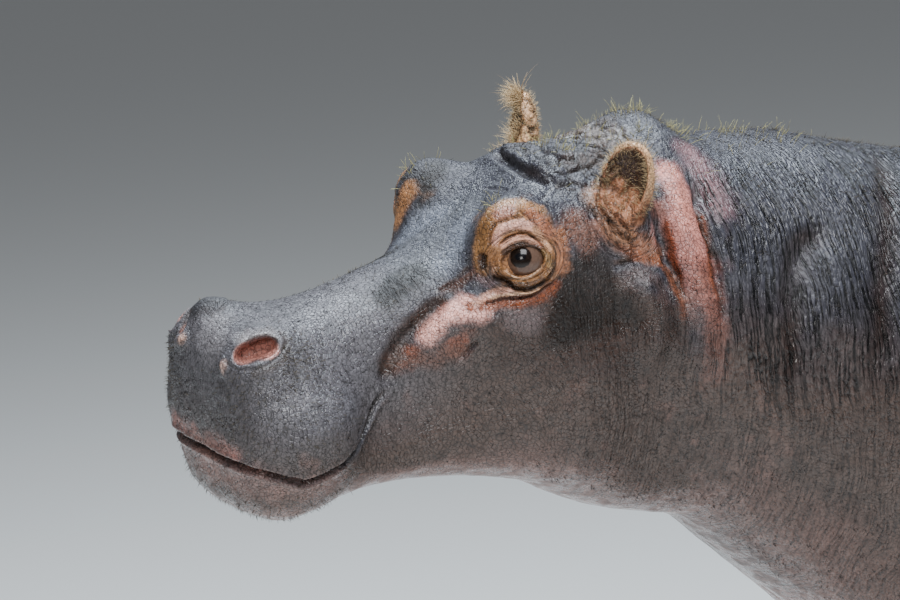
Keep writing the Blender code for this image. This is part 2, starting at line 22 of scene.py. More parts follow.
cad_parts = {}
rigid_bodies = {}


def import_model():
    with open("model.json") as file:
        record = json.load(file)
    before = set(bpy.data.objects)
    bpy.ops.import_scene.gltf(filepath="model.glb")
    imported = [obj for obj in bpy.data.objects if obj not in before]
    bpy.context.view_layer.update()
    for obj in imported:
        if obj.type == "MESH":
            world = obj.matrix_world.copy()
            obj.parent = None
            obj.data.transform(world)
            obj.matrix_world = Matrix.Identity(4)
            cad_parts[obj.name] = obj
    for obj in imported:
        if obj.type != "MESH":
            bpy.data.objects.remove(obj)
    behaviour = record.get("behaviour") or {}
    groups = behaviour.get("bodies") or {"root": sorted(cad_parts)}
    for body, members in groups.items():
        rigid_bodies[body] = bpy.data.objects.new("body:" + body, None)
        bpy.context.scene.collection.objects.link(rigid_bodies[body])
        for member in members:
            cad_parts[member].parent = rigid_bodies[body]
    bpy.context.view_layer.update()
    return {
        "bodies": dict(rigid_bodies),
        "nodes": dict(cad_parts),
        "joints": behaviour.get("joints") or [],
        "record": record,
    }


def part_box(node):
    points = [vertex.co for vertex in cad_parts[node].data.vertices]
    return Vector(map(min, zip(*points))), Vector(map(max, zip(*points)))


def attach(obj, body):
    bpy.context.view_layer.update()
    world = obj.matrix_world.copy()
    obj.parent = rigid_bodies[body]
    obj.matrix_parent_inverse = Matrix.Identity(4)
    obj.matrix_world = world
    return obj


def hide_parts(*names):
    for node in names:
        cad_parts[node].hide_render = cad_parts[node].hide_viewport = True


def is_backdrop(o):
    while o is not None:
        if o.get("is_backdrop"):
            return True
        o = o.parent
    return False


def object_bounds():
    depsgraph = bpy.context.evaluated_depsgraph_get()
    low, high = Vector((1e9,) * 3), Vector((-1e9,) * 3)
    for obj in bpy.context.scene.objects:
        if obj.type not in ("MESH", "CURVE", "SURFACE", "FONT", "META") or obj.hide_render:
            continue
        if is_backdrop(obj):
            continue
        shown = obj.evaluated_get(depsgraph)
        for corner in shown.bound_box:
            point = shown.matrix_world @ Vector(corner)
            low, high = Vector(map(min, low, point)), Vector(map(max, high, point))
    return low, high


Array = np.ndarray
Triple = tuple[float, float, float]

LOG = logging.getLogger("hippopotamus")
BODY = "root"

LIMBS = ("leg_front", "leg_hind")
FLESH = ("head", "lower_jaw", "neck", "trunk", "tail") + tuple(
    f"{limb}_{side}" for limb in LIMBS for side in ("left", "right")
)
FRONT_FLESH = ("head", "lower_jaw", "neck")
FAR = 9.0  # further than any place on the animal
EYE_RADIUS = 0.029
EYE_IN_HEAD = Vector((0.1385, 0.441, 0.119))  # the left eye's centre, in the head frame


class Side(Enum):
    """The two sides of the animal, by the sign of their x."""

    LEFT = 1
    RIGHT = -1

    def mirrored(self, place: Iterable[float]) -> Array:
        """A place of the left side of the head, carried to this side."""
        return np.array(tuple(place)) * (self.value, 1, 1)


# ---------------------------------------------------------------- numbers and noise


def smooth_step(value: Array, start: float, end: float) -> Array:
    """Rises smoothly from 0 at start to 1 at end, which may lie below start."""
    share = np.clip((value - start) / (end - start), 0, 1)
    return share * share * (3 - 2 * share)


def bell(value: Array, width: float) -> Array:
    """1 where a value is 0, falling off to nothing within a few widths."""
    return np.exp(-((value / width) ** 2))


def tapered(along: Array) -> Array:
    """How strong a line is along its length, from 0 to 1: it runs out at both ends."""
    return smooth_step(along, -0.02, 0.14) * smooth_step(along, 1.02, 0.86)


def hashed(cells: Array, seed: int) -> Array:
    """A repeatable number from -1 to 1 for each whole-number cell.

    Args:
        cells: One row of three whole numbers per cell.
        seed: Picks one of many such patterns.

    Returns:
        One number per row.
    """
    mixed = (cells[:, 0] * 73856093) ^ (cells[:, 1] * 19349663) ^ (cells[:, 2] * 83492791)
    mixed = (mixed ^ (seed * 40503 + 977)) & 0xFFFFFFFF
    mixed = ((mixed ^ (mixed >> 13)) * 1274126177) & 0xFFFFFFFF
    mixed = ((mixed ^ (mixed >> 15)) * 668265263) & 0xFFFFFFFF
    return ((mixed >> 8) & 0xFFFF) / 32767.5 - 1


def soft_noise(points: Array, cell: float, seed: int = 0) -> Array:
    """Smooth noise from -1 to 1 whose bumps are about cell metres across.

    Args:
        points: Rows of x, y, z.
        cell: Size of the lattice.
        seed: Picks one of many such patterns.

    Returns:
        One number per point.
    """
    scaled = points / cell + 512.0
    base = np.floor(scaled).astype(np.int64)
    share = scaled - base
    share = share * share * (3 - 2 * share)
    total = np.zeros(len(points))
    for corner in np.ndindex(2, 2, 2):
        weight = np.prod(np.where(corner, share, 1 - share), axis=1)
        total += weight * hashed(base + np.array(corner), seed)
    return total


def layered_noise(points: Array, cell: float, seed: int = 0, layers: int = 3) -> Array:
    """Soft noise with finer, weaker layers added."""
    total = np.zeros(len(points))
    for layer in range(layers):
        total += soft_noise(points, cell / 2**layer, seed + 17 * layer) / 2**layer
    return total


def border_distance(points: Array, cell: float, seed: int = 0) -> Array:
    """How far each point is from the border of its random cell, as a share of the cell's size."""
    scaled = points / cell + 512.0
    base = np.floor(scaled).astype(np.int64)
    nearest = np.full(len(points), FAR)
    second = np.full(len(points), FAR)
    for corner in np.ndindex(3, 3, 3):
        place = base + np.array(corner) - 1
        jitter = np.stack([hashed(place, seed + axis) for axis in range(3)], axis=1) * 0.45 + 0.5
        gap = np.linalg.norm(place + jitter - scaled, axis=1)
        second = np.minimum(second, np.maximum(nearest, gap))
        nearest = np.minimum(nearest, gap)
    return second - nearest


def line_distance(points: Array, line: Array) -> tuple[Array, Array]:
    """The distance from each point to a line of straight runs, and how far along it that is.

    Args:
        points: Rows of x, y, z.
        line: The line's own points, one or more rows.

    Returns:
        The distances in metres, and the place along the line from 0 to 1.
    """
    if len(line) == 1:
        return np.linalg.norm(points - line[0], axis=1), np.full(len(points), 0.5)
    best = np.full(len(points), FAR)
    along = np.zeros(len(points))
    lengths = np.linalg.norm(np.diff(line, axis=0), axis=1)
    starts = np.concatenate([[0], np.cumsum(lengths)])
    for index, length in enumerate(lengths):
        run = (line[index + 1] - line[index]) / length
        reach = np.clip((points - line[index]) @ run, 0, length)
        gap = np.linalg.norm(points - line[index] - reach[:, None] * run, axis=1)
        closer = gap < best
        best = np.where(closer, gap, best)
        along = np.where(closer, (starts[index] + reach) / starts[-1], along)
    return best, along


# ---------------------------------------------------------------- frames and meshes


@dataclass(frozen=True)
class HeadFrame:
    """The head's own frame: its origin and axes, in the model's frame."""

    origin: Array
    axes: Array

    @classmethod
    def from_eyes(cls) -> "HeadFrame":
        """Finds the frame from where the two eyes are."""
        left, right = (sum(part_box(name), Vector()) / 2 for name in ("eye_left", "eye_right"))
        across = (left - right).normalized()
        back = Vector((0, 1, 0))
        rise = across.cross(back)
        origin = (left + right) / 2 - back * EYE_IN_HEAD.y - rise * EYE_IN_HEAD.z
        return cls(np.array(origin), np.array([across, back, rise]))

    def inward(self, points: Array) -> Array:
        """Points of the model's frame, given in the head's."""
        return (points - self.origin) @ self.axes.T

    def outward(self, points: Array) -> Array:
        """Points of the head's frame, given in the model's."""
        return self.origin + points @ self.axes

    def matrix(self) -> Matrix:
        """The head frame as a matrix of the model's frame."""
        turn = Matrix(self.axes.T.tolist()).to_4x4()
        return Matrix.Translation(Vector(self.origin)) @ turn


def new_object(name: str, mesh: Mesh) -> Object:
    """Puts a mesh in the scene as an object at the origin."""
    obj = bpy.data.objects.new(name, mesh)
    bpy.context.scene.collection.objects.link(obj)
    return obj


def settle(obj: Object) -> None:
    """Replaces an object's mesh by what its modifiers make of it, and drops them."""
    graph = bpy.context.evaluated_depsgraph_get()
    made = bpy.data.meshes.new_from_object(obj.evaluated_get(graph))
    old = obj.data
    obj.modifiers.clear()
    obj.data = made
    bpy.data.meshes.remove(old)


@contextmanager
def editing(mesh: Mesh) -> Iterator[bmesh.types.BMesh]:
    """Opens a mesh to the mesh operators and writes it back afterwards."""
    bm = bmesh.new()
    bm.from_mesh(mesh)
    yield bm
    bm.to_mesh(mesh)
    bm.free()


def triangle_count(mesh: Mesh) -> int:
    """How many triangles a mesh comes to."""
    return sum(len(face.vertices) - 2 for face in mesh.polygons)


class Surface:
    """The vertices of a mesh as arrays, to be moved and written back."""

    def __init__(self, mesh: Mesh) -> None:
        """Reads the mesh."""
        self.mesh = mesh
        count = len(mesh.vertices)
        self.points = np.zeros(count * 3)
        mesh.vertices.foreach_get("co", self.points)
        self.points = self.points.reshape(-1, 3)
        edges = np.zeros(len(mesh.edges) * 2, int)
        mesh.edges.foreach_get("vertices", edges)
        self.ends = edges.reshape(-1, 2)
        self.degree = np.maximum(np.bincount(self.ends.ravel(), minlength=count), 1)[:, None]

    def normals(self) -> Array:
        """The vertex normals at the present places."""
        self.write()
        found = np.zeros(len(self.points) * 3)
        self.mesh.vertex_normals.foreach_get("vector", found)
        return found.reshape(-1, 3)

    def relax(self, rounds: int, weight: Array | float = 1.0) -> None:
        """Smooths the surface.

        Args:
            rounds: How many times each vertex moves halfway to the mean of its neighbours.
            weight: How much of that each vertex does.
        """
        share = 0.5 * (weight[:, None] if isinstance(weight, Array) else weight)
        first, second = self.ends.T
        count = len(self.points)
        for _ in range(rounds):
            mean = np.empty_like(self.points)
            for axis in range(3):
                column = self.points[:, axis]
                mean[:, axis] = np.bincount(first, column[second], count)
                mean[:, axis] += np.bincount(second, column[first], count)
            self.points += share * (mean / self.degree - self.points)

    def write(self) -> None:
        """Writes the places back to the mesh."""
        self.mesh.vertices.foreach_set("co", self.points.ravel())
        self.mesh.update()


# ---------------------------------------------------------------- the hide's relief

Line = tuple[tuple[float, ...], ...]


def metres(millimetres: float) -> float:
    """A length in metres, to a hundredth of a millimetre."""
    return round(millimetres / 1000, 5)


def line_of(points: Iterable[tuple[float, ...]]) -> Line:
    """A line in metres whose points are given in millimetres."""
    return tuple(tuple(metres(value) for value in point) for point in points)


class Ground(Enum):
    """Where a line is drawn.

    HEAD is the head's own frame. EYE, NOSTRIL and EAR are flat charts that face the eye, the nostril
    and the cup of the ear. MOUTH and FLANK are the side view (y and z of the head's frame).
    """

    HEAD = 0
    EYE = 1
    NOSTRIL = 2
    MOUTH = 3
    EAR = 4
    FLANK = 5


HEAD, EYE, NOSTRIL, MOUTH, EAR, FLANK = Ground


@dataclass(frozen=True)
class Fold:
    """A crease in the hide along a line."""

    line: Line
    width: float
    depth: float
    lip: float
    mirrored: bool
    ground: Ground


@dataclass(frozen=True)
class Swelling:
    """A place or roll that stands out of the hide. A height below 0 is a hollow."""

    line: Line
    reach: float
    height: float
    mirrored: bool
    ground: Ground


def fold(
    ground: Ground, width: float, depth: float, lip: float, *points: tuple, mirrored: bool = True
) -> Fold:
    """A fold whose measures are given in millimetres."""
    return Fold(line_of(points), metres(width), metres(depth), metres(lip), mirrored, ground)


def swelling(
    ground: Ground, reach: float, height: float, *points: tuple, mirrored: bool = True
) -> Swelling:
    """A swelling whose measures are given in millimetres."""
    return Swelling(line_of(points), metres(reach), metres(height), mirrored, ground)


SWELLINGS = (
    # Nostril: lobe in front, rim, and the mound behind it.
    swelling(HEAD, 11, 7, (68, 6, 14)),
    swelling(HEAD, 11, 7, (-57, 3, 20), mirrored=False),
    swelling(HEAD, 17, 8, (-56, 32, 64), (-44, 56, 70), mirrored=False),
    # Round the eye: the roll of the lower lid, the plates of the upper one, the bars below.
    swelling(EYE, 7, 4.6, (-33, -17), (-25, -25), (-15, -31), (-3, -34), (11, -33), (23, -28), (33, -18),
         (39, -3), (38, 8), (32, 17)),
    swelling(EYE, 6, 2.2, (-28, 17), (-20, 26), (-8, 31), (4, 31), (15, 26), (23, 18)),
    swelling(EYE, 8, 3.8, (-42, 12), (-40, 24), (-37, 35), (-28, 44), (-15, 49), (-3, 49), (9, 46), (21, 38),
         (31, 27)),
    swelling(EYE, 10, 2.6, (-52, 46), (-42, 60), (-28, 70), (-10, 73), (10, 70), (30, 55)),
    swelling(EYE, 4.2, 3, (-50, -56), (-39, -54.4), (-25, -50), (-11, -47.5), (4, -46.2), (16, -42.5),
         (30, -37), (42, -27)),
    swelling(EYE, 4, 2.6, (-50, -43), (-37, -37.5), (-27, -37)),
    # The pink bulge behind the corner of the mouth.
    swelling(HEAD, 21, 12, (113, 304, 10), (116, 322, 30), (125, 346, 44), (142, 368, 42)),
    # Roll across the forehead behind its deep furrow.
    swelling(HEAD, 12, 5, (-40, 522, 232), (10, 516, 235), (50, 519, 229), mirrored=False),
    swelling(HEAD, 12, 5, (60, 522, 226), (86, 530, 214), mirrored=False),
    # Cheek bulge under the ear, and the rolls of the neck behind it.
    swelling(HEAD, 34, 32, (180, 610, 58), (186, 626, 28), (186, 624, -10)),
    swelling(HEAD, 21, 17, (140, 686, 190), (166, 682, 155), (190, 686, 100), (208, 694, 40),
         (212, 692, -40)),
    swelling(HEAD, 26, 6, (185, 752, 140), (215, 752, 70), (225, 750, -20)),
    swelling(HEAD, 40, 10, (232, 905, 60), (250, 890, -10)),
    # In the cup of the ear: the knot at its front, the ridge below it, the bowl.
    swelling(EAR, 8, 9, (-14, 38), (-10, 47)),
    swelling(EAR, 4.5, 3.5, (-4, 6), (0, 22), (-4, 40)),
    swelling(EAR, 4.5, 3, (10, 12), (14, 30)),
    # Lips and chin.
    swelling(HEAD, 18, 6, (100, 30, -104), (120, 85, -122), (112, 150, -108)),
)

FOLDS = (
    # Round the eye: the fold over the lid, the two above it, the one that runs all round.
    fold(EYE, 1.7, 4.6, 0.8, (-33.3, 13.1), (-31.9, 21.3), (-25.1, 29.6), (-15.4, 35.1), (-4.4, 38.6),
         (6.6, 37.9), (16.2, 32.4), (24.5, 24.1), (30, 15.8), (34.1, 10.3)),
    fold(EYE, 1.8, 3.6, 0.6, (-47.1, 15), (-48.5, 29), (-45.7, 39.2), (-37.5, 49.6), (-27.8, 55.1),
         (-16.8, 59.2), (-7.2, 59.9), (-0.3, 56.5)),
    fold(EYE, 1.7, 3.8, 0.6, (-5.8, 72.3), (1.1, 62.7), (9.4, 55.8), (19, 47.5), (28.6, 36.5), (36.9, 26.9),
         (43.8, 14.5), (46.5, 0.7), (45.2, -11.7), (41, -21.3)),
    fold(EYE, 2.6, 6.6, 0.8, (46.5, 0.7), (45.2, -11.7), (41, -21.3), (34.1, -30), (24.5, -37),
         (12.1, -41.5), (-1.7, -42.2), (-15.4, -39), (-25.1, -33), (-33.3, -28.5), (-43, -27.5)),
    fold(EYE, 1.3, 2, 0, (24, -10), (35.5, -11), (41, -9), (45.2, -4.8)),
    fold(EYE, 1.2, 1.6, 0, (33, 15), (37, 5), (36, -9)),
    # The notch below the inner corner and the pit in front of it.
    fold(EYE, 3.4, 5.8, 0, (-44, -27), (-34.7, -28.9), (-25.1, -31.5), (-17, -36)),
    fold(EYE, 4.8, 7, 0.8, (-56, 6), (-56.7, -6.2), (-54, -13.1)),
    fold(EYE, 2.6, 3, 0, (-62, -22.7), (-50, -27.5)),
    fold(EYE, 2.6, 1.8, 0, (-62.2, 13.1), (-60.9, 29.6), (-55.4, 46.1), (-45.7, 59.9), (-31.9, 70.9)),
    # The groove under the bars.
    fold(EYE, 2.2, 4.6, 0.8, (-68, -64), (-58.1, -63), (-43, -60.8), (-29.2, -58), (-15.4, -56),
         (-0.3, -54.5), (12.1, -51.6), (24.5, -44.8), (38.3, -35.1), (50.7, -21.3)),
    fold(HEAD, 3, 3.6, 1, (110, 372, 112), (98, 352, 90), (90, 331, 77)),
    # The furrow from the corner of the mouth, and the one behind the pink bulge.
    fold(HEAD, 12, 12, 0, (106, 336, 68), (102, 320, 60), (99, 304, 48), (99, 288, 34), (101, 268, 19),
         (103, 248, 0), (105, 236, -22), (107, 238, -45)),
    fold(HEAD, 3, 5, 1.4, (157, 390, 52), (153, 374, 34), (148, 361, 16), (142, 345, -4), (132, 322, -20)),
    fold(HEAD, 3, 3, 1, (152, 378, 54), (136, 368, 66), (118, 358, 74)),
    # The right nostril gapes a little in front, and its mound is creased behind.
    fold(HEAD, 5, 13, 1, (-69, 2, 22), (-71, 12, 40), (-72, 19, 50), (-72, 28, 58), mirrored=False),
    fold(HEAD, 4, 3.6, 1, (-50, 74, 70), (-34, 60, 64), (-20, 40, 56), mirrored=False),
    # Forehead: the deep furrow, its cracks, and the second furrow.
    fold(HEAD, 6.8, 15, 2, (-58, 511, 228), (-13, 500, 226), (21, 498, 223), (52, 500, 219), (75, 505, 214),
         (96, 516, 207), mirrored=False),
    fold(HEAD, 2.6, 4.6, 1, (96, 516, 207), (107, 531, 202), (112, 549, 201)),
    fold(HEAD, 2.2, 3, 0, (96, 516, 207), (112, 495, 197), (122, 478, 195)),
    fold(HEAD, 3, 5, 1, (112, 547, 200), (126, 545, 187), (140, 549, 172), (146, 546, 160)),
    fold(HEAD, 4, 7, 1, (18, 550, 243), (40, 552, 239), (56, 559, 236), mirrored=False),
    fold(HEAD, 2.4, 3.6, 0, (56, 559, 236), (68, 556, 230), (76, 563, 227), mirrored=False),
    fold(HEAD, 3, 4.6, 1, (15, 638, 250), (46, 629, 243), (64, 622, 237)),
    fold(HEAD, 2.6, 4, 0, (52, 594, 237), (70, 600, 231), (80, 610, 227)),
    fold(HEAD, 2.4, 3, 0, (6, 458, 194), (36, 462, 199), (64, 464, 201), mirrored=False),
    # Arcs in front of and below the ear.
    fold(HEAD, 2.8, 6.4, 2.6, (118, 582, 196), (136, 577, 186), (150, 581, 170), (160, 594, 154),
         (164, 606, 143)),
    fold(HEAD, 2.8, 6, 2.6, (112, 574, 204), (128, 569, 191), (143, 568, 175), (157, 578, 153),
         (165, 592, 136), (170, 610, 120)),
    fold(HEAD, 3, 4.6, 2, (128, 556, 186), (143, 556, 168), (156, 566, 145), (166, 582, 124),
         (172, 602, 108)),
    # Over the cheek bulge.
    fold(HEAD, 5, 8.5, 1.6, (168, 566, 98), (173, 598, 101), (176, 630, 98), (186, 648, 74), (198, 661, 44),
         (204, 664, 0), (200, 655, -60)),
    # In the cup of the ear, round its knot.
    fold(EAR, 3, 6, 0, (-22, 30), (-25, 45), (-15, 58), (-1, 53), (2, 38), (-7, 27)),
    fold(EAR, 2.2, 3.6, 0, (-17, 40), (-11, 37), (-8, 44)),
    fold(EAR, 3.2, 5, 0, (-34, 44), (-31, 26), (-18, 10), (0, 0), (16, -6)),
    fold(EAR, 2, 3.6, 0, (4, 4), (8, 22), (4, 40)),
    fold(HEAD, 9, 6, 0, (172, 575, 84), (176, 572, 52), (180, 574, 15), (180, 585, -30)),
    # Neck: the crease behind the ear, the two behind the pink roll, the two of the throat and shoulder.
    fold(HEAD, 6.8, 15, 1, (140, 652, 175), (158, 652, 155), (170, 649, 128), (180, 651, 100),
         (190, 660, 76), (200, 669, 46), (206, 674, 10), (204, 672, -50), (180, 664, -120)),
    fold(HEAD, 6.4, 13, 1, (124, 724, 200), (145, 722, 182), (165, 713, 160), (187, 713, 129),
         (198, 716, 107), (209, 720, 78), (219, 718, 33), (222, 716, -30), (205, 712, -110)),
    fold(HEAD, 4, 5, 1, (142, 738, 185), (164, 732, 164), (182, 733, 143), (197, 735, 114)),
    fold(HEAD, 19, 15, 0, (210, 905, 122), (223, 862, 98), (230, 846, 83), (236, 835, 62), (246, 826, 30),
         (252, 820, -20), (246, 815, -90), (215, 805, -160)),
    fold(HEAD, 20, 8, 0, (60, 1092, 178), (102, 1079, 173), (150, 1052, 160), (192, 1028, 136),
         (232, 1000, 99), (256, 980, 64), (272, 962, 30), (284, 950, -40), (270, 930, -140)),
    # Shoulder, elbow, flank and buttock, seen from the side.
    fold(FLANK, 20, 9, 0, (1060, -520), (1100, -400), (1150, -280), (1200, -160)),
    fold(FLANK, 16, 11, 0, (1520, -740), (1540, -640), (1600, -540), (1680, -470)),
    fold(FLANK, 20, 12, 0, (2360, -780), (2400, -680), (2450, -560), (2530, -440)),
    fold(FLANK, 16, 7, 0, (2960, -780), (3000, -660), (3000, -520)),
    # The line of the mouth, seen from the side, from the lips back to its corner.
    fold(MOUTH, 4.2, 12, 3, (-60, -121), (-10, -122), (20, -126), (80, -146), (150, -128), (190, -94),
         (215, -66), (240, -44)),
)


class Relief:
    """Moves the hide's vertices by its folds, swellings, cracks and openings."""

    def __init__(self, surface: Surface, head: HeadFrame) -> None:
        """Takes the surface as it is now, with a slight wander for every line laid on it."""
        self.surface = surface
        self.head = head
        self.normals = surface.normals()
        self.local = head.inward(surface.points)
        self.map = GroundMap(self.local)
        self.rise = np.zeros(len(self.local))

    def lay_fold(self, crease: Fold) -> None:
        """Presses one crease in and raises its lips."""
        for chosen, gap, along in self.map.along(crease, crease.width * 4):
            groove = bell(gap, crease.width)
            lip = bell(gap - 1.9 * crease.width, crease.width)
            self.rise[chosen] += tapered(along) * (crease.lip * lip - crease.depth * groove)

    def lay_swelling(self, roll: Swelling) -> None:
        """Raises one roll or bump."""
        for chosen, gap, _ in self.map.along(roll, roll.reach * 2.5):
            self.rise[chosen] += roll.height * bell(gap, roll.reach)

    def lay_cracks(self, area: "CrackedArea") -> None:
        """Cuts a field of cells with cracks between them."""
        chosen, cracked = area.cracks(self.local)
        self.rise[chosen] -= area.depth * cracked

    def lay_ring(self, ring: "LegRing", low: Array, high: Array) -> None:
        """Presses a crease in all round a leg whose box is given."""
        places = self.surface.points
        near = np.all((places > low - 0.02) & (places < high + 0.02), axis=1)
        chosen = np.nonzero(near & (np.abs(places[:, 2] - ring.height) < 0.10))[0]
        gap = places[chosen, 2] - ring.height - 0.016 * soft_noise(places[chosen], 0.11, ring.seed)
        fades = 0.35 + 0.65 * smooth_step(soft_noise(places[chosen], 0.09, ring.seed + 3), -0.4, 0.4)
        self.rise[chosen] -= fades * ring.depth * bell(gap, ring.width)

    def apply(self) -> None:
        """Moves the vertices along their normals by what was gathered."""
        self.surface.points += self.normals * self.rise[:, None]


def displaced(points: Array, cell: float, seed: int) -> Array:
    """Three soft noises side by side, to push points about with."""
    return np.stack([soft_noise(points, cell, seed + axis) for axis in range(3)], axis=1)


def wandering(local: Array) -> Array:
    """Places pushed about a little, so that lines laid on them aren't straight."""
    return local + 0.0024 * displaced(local, 0.030, 3) + 0.0009 * displaced(local, 0.009, 13)


@dataclass(frozen=True)
class CrackedArea:
    """A part of the head's top whose hide is cracked into cells."""

    low: Triple
    high: Triple
    cell: float
    depth: float
    stretch: Triple = (1, 1, 1)
    soft: float = 0.02

    def weight(self, local: Array) -> Array:
        """How strongly each place of the head frame belongs to the area."""
        total = np.ones(len(local))
        for axis in range(3):
            total *= smooth_step(local[:, axis], self.low[axis], self.low[axis] + self.soft)
            total *= smooth_step(local[:, axis], self.high[axis], self.high[axis] - self.soft)
        return total

    def cracks(self, local: Array) -> tuple[Array, Array]:
        """Which vertices the area has, and how deep in a crack each is, from 0 to 1."""
        weight = self.weight(local)
        chosen = np.nonzero(weight > 0.01)[0]
        places = local[chosen] / self.stretch
        places += 0.25 * self.cell * displaced(places, self.cell * 0.8, 71)
        border = border_distance(places, self.cell, 5)
        patchy = smooth_step(soft_noise(local[chosen], self.cell * 1.7, 19), -0.5, 0.3)
        return chosen, weight[chosen] * (0.35 + 0.65 * patchy) * smooth_step(border, 0.26, 0.0)


@dataclass(frozen=True)
class LegRing:
    """A crease round a leg at a height."""

    height: float
    width: float
    depth: float
    seed: int


RINGS = {
    "leg_front": (
        LegRing(0.088, 0.007, 0.0060, 1),
        LegRing(0.122, 0.008, 0.0040, 2),
        LegRing(0.270, 0.012, 0.0060, 3),
        LegRing(0.305, 0.010, 0.0040, 4),
    ),
    "leg_hind": (
        LegRing(0.090, 0.007, 0.0060, 5),
        LegRing(0.126, 0.008, 0.0040, 6),
        LegRing(0.235, 0.012, 0.0050, 7),
        LegRing(0.275, 0.014, 0.0070, 8),
    ),
}

CRACKED = (
    CrackedArea((-0.150, 0.500, 0.192), (0.150, 0.680, 0.300), 0.034, 0.0060, (1.2, 0.8, 1)),
    CrackedArea((-0.150, 0.520, 0.192), (0.150, 0.640, 0.300), 0.018, 0.0032, (1.2, 0.9, 1)),
)


@dataclass(frozen=True)
class Opening:
    """A chart on the head's side: a rounded outline in a plane that faces outward."""

    side: Side
    centre: Triple
    half_length: float
    upper: float
    lower: float
    turn: float
    shift: tuple[float, float] = (0.0, 0.0)
    facing: Triple = (0.8408, -0.4767, 0.2565)
    across: Triple = (0.4962, 0.8681, -0.0134)
    deepest: float = -0.04

    def axes(self) -> Array:
        """Rows: across (towards the back), up, and out of the head."""
        out = self.side.mirrored(self.facing)
        out /= np.linalg.norm(out)
        across = self.side.mirrored(self.across)
        across -= out * (across @ out)
        across /= np.linalg.norm(across)
        rise = np.cross(out, across) * self.side.value
        return np.array((across, rise, out))

    def middle(self) -> Array:
        """The chart's own origin in the head frame."""
        return self.side.mirrored(self.centre)

    def chart(self, local: Array) -> Array:
        """Places of the head frame, given in the chart."""
        return (local - self.middle()) @ self.axes().T

    def outline(self, chart: Array) -> tuple[Array, Array]:
        """How far outside the outline each place is, in metres, and its angle round the middle."""
        angle = math.radians(self.turn)
        flat = chart[:, :2] - self.shift
        along = flat[:, 0] * math.cos(angle) + flat[:, 1] * math.sin(angle)
        rise = flat[:, 1] * math.cos(angle) - flat[:, 0] * math.sin(angle)
        height = np.where(rise > 0, self.upper, self.lower)
        size = np.abs(along / self.half_length) ** 2 + np.abs(rise / height) ** 2
        size = np.sqrt(np.maximum(size, 1e-6))
        return np.hypot(along, rise) * (1 - 1 / size), np.arctan2(rise, along)

    def within(self, local: Array, reach: float, floor: float) -> Array:
        """Which places lie near the chart's origin and no deeper than its floor."""
        chart = self.chart(local)
        return (np.hypot(chart[:, 0], chart[:, 1]) < reach) & (chart[:, 2] > floor)

    def beyond(self, local: Array, near: float, far: float) -> Array:
        """0 up to one distance outside the outline, 1 from another and on the head's other side."""
        chart = self.chart(local)
        return np.where(chart[:, 2] > self.deepest, smooth_step(self.outline(chart)[0], near, far), 1)


@dataclass(frozen=True)
class Ridge:
    """A ridge or a groove that runs round an outline, at a distance from it."""

    height: float
    place: float
    width: float

    def rise(self, outside: Array, share: Array | float = 1.0) -> Array:
        """How far it stands out, or lies in, at distances from the outline."""
        return share * self.height * bell(outside - self.place, self.width)


@dataclass(frozen=True)
class Rimmed:
    """What the two kinds of opening share: each moves the hide near its chart's origin."""

    opening: Opening
    reach: float
    floor: float

    def lay(self, surface: Surface, head: HeadFrame) -> None:
        """Moves the hide round the opening straight out of or into the head."""
        local = head.inward(surface.points)
        chosen = np.nonzero(self.opening.within(local, self.reach, self.floor))[0]
        places = self.opening.chart(local)[chosen]
        out = head.axes.T @ self.opening.axes()[2]
        surface.points[chosen] += self.shift(places)[:, None] * out

    def shift(self, places: Array) -> Array:
        """How far each place of the chart moves."""
        raise NotImplementedError


@dataclass(frozen=True)
class Lids(Rimmed):
    """The lids of one eye: a thick margin over the eyeball, open in the middle."""

    reach: float = 0.062
    floor: float = -0.012
    thickness: float = 0.0045
    corner_depth: float = 0.008
    rim_reach: float = 0.013
    margin: Ridge = Ridge(0.0016, 0.0022, 0.0017)
    lower_groove: Ridge = Ridge(0.0022, 0.0062, 0.0016)
    upper_groove: Ridge = Ridge(0.0012, 0.0060, 0.0014)

    def shift(self, places: Array) -> Array:
        """Lays the lids on the eyeball and sinks the gap between them."""
        reach = np.minimum(np.hypot(places[:, 0], places[:, 1]), EYE_RADIUS * 0.97)
        ball = np.sqrt(EYE_RADIUS**2 - reach**2)
        outside, angle = self.opening.outline(places)
        lower = smooth_step(np.sin(angle), 0.15, -0.35)
        rim = bell(np.maximum(outside, 0), self.rim_reach)
        height = places[:, 2]
        overhang = (1 - lower) * smooth_step(outside, 0.001, 0.010)
        covering = ball + self.thickness * (0.55 + 1.25 * overhang + 0.45 * lower)
        lid = height + rim * (np.maximum(covering, height) - height)
        lid += self.margin.rise(outside)
        lid -= self.lower_groove.rise(outside, lower)
        lid -= self.upper_groove.rise(outside, 1 - lower)
        inner = np.maximum(ball - 0.004, lid - self.corner_depth)
        return lid + smooth_step(outside, 0.0007, -0.0021) * (inner - lid) - height


@dataclass(frozen=True)
class Nostril(Rimmed):
    """One nostril: a slanting pit with a raised rim."""

    reach: float = 0.075
    floor: float = -0.045
    depth: float = 0.016
    rim: Ridge = Ridge(0.0042, 0.0045, 0.0045)
    groove: Ridge = Ridge(0.0016, 0.0125, 0.0022)

    def shift(self, places: Array) -> Array:
        """Presses the pit in and raises its rim."""
        outside, angle = self.opening.outline(places)
        sunk = smooth_step(outside, 0.0005, -0.0085)
        rim = self.rim.rise(outside) * (0.65 + 0.35 * np.sin(angle))
        return rim - self.depth * sunk - self.groove.rise(outside)


def eye_centre(side: Side) -> Vector:
    """The centre of one eye in the head's frame."""
    return Vector((side.value * EYE_IN_HEAD.x, *EYE_IN_HEAD.yz))


def eye_opening(side: Side) -> Opening:
    """The gap between one eye's lids."""
    return Opening(side, tuple(EYE_IN_HEAD), 0.0312, 0.0180, 0.0226, 11, (-0.001, -0.0007))


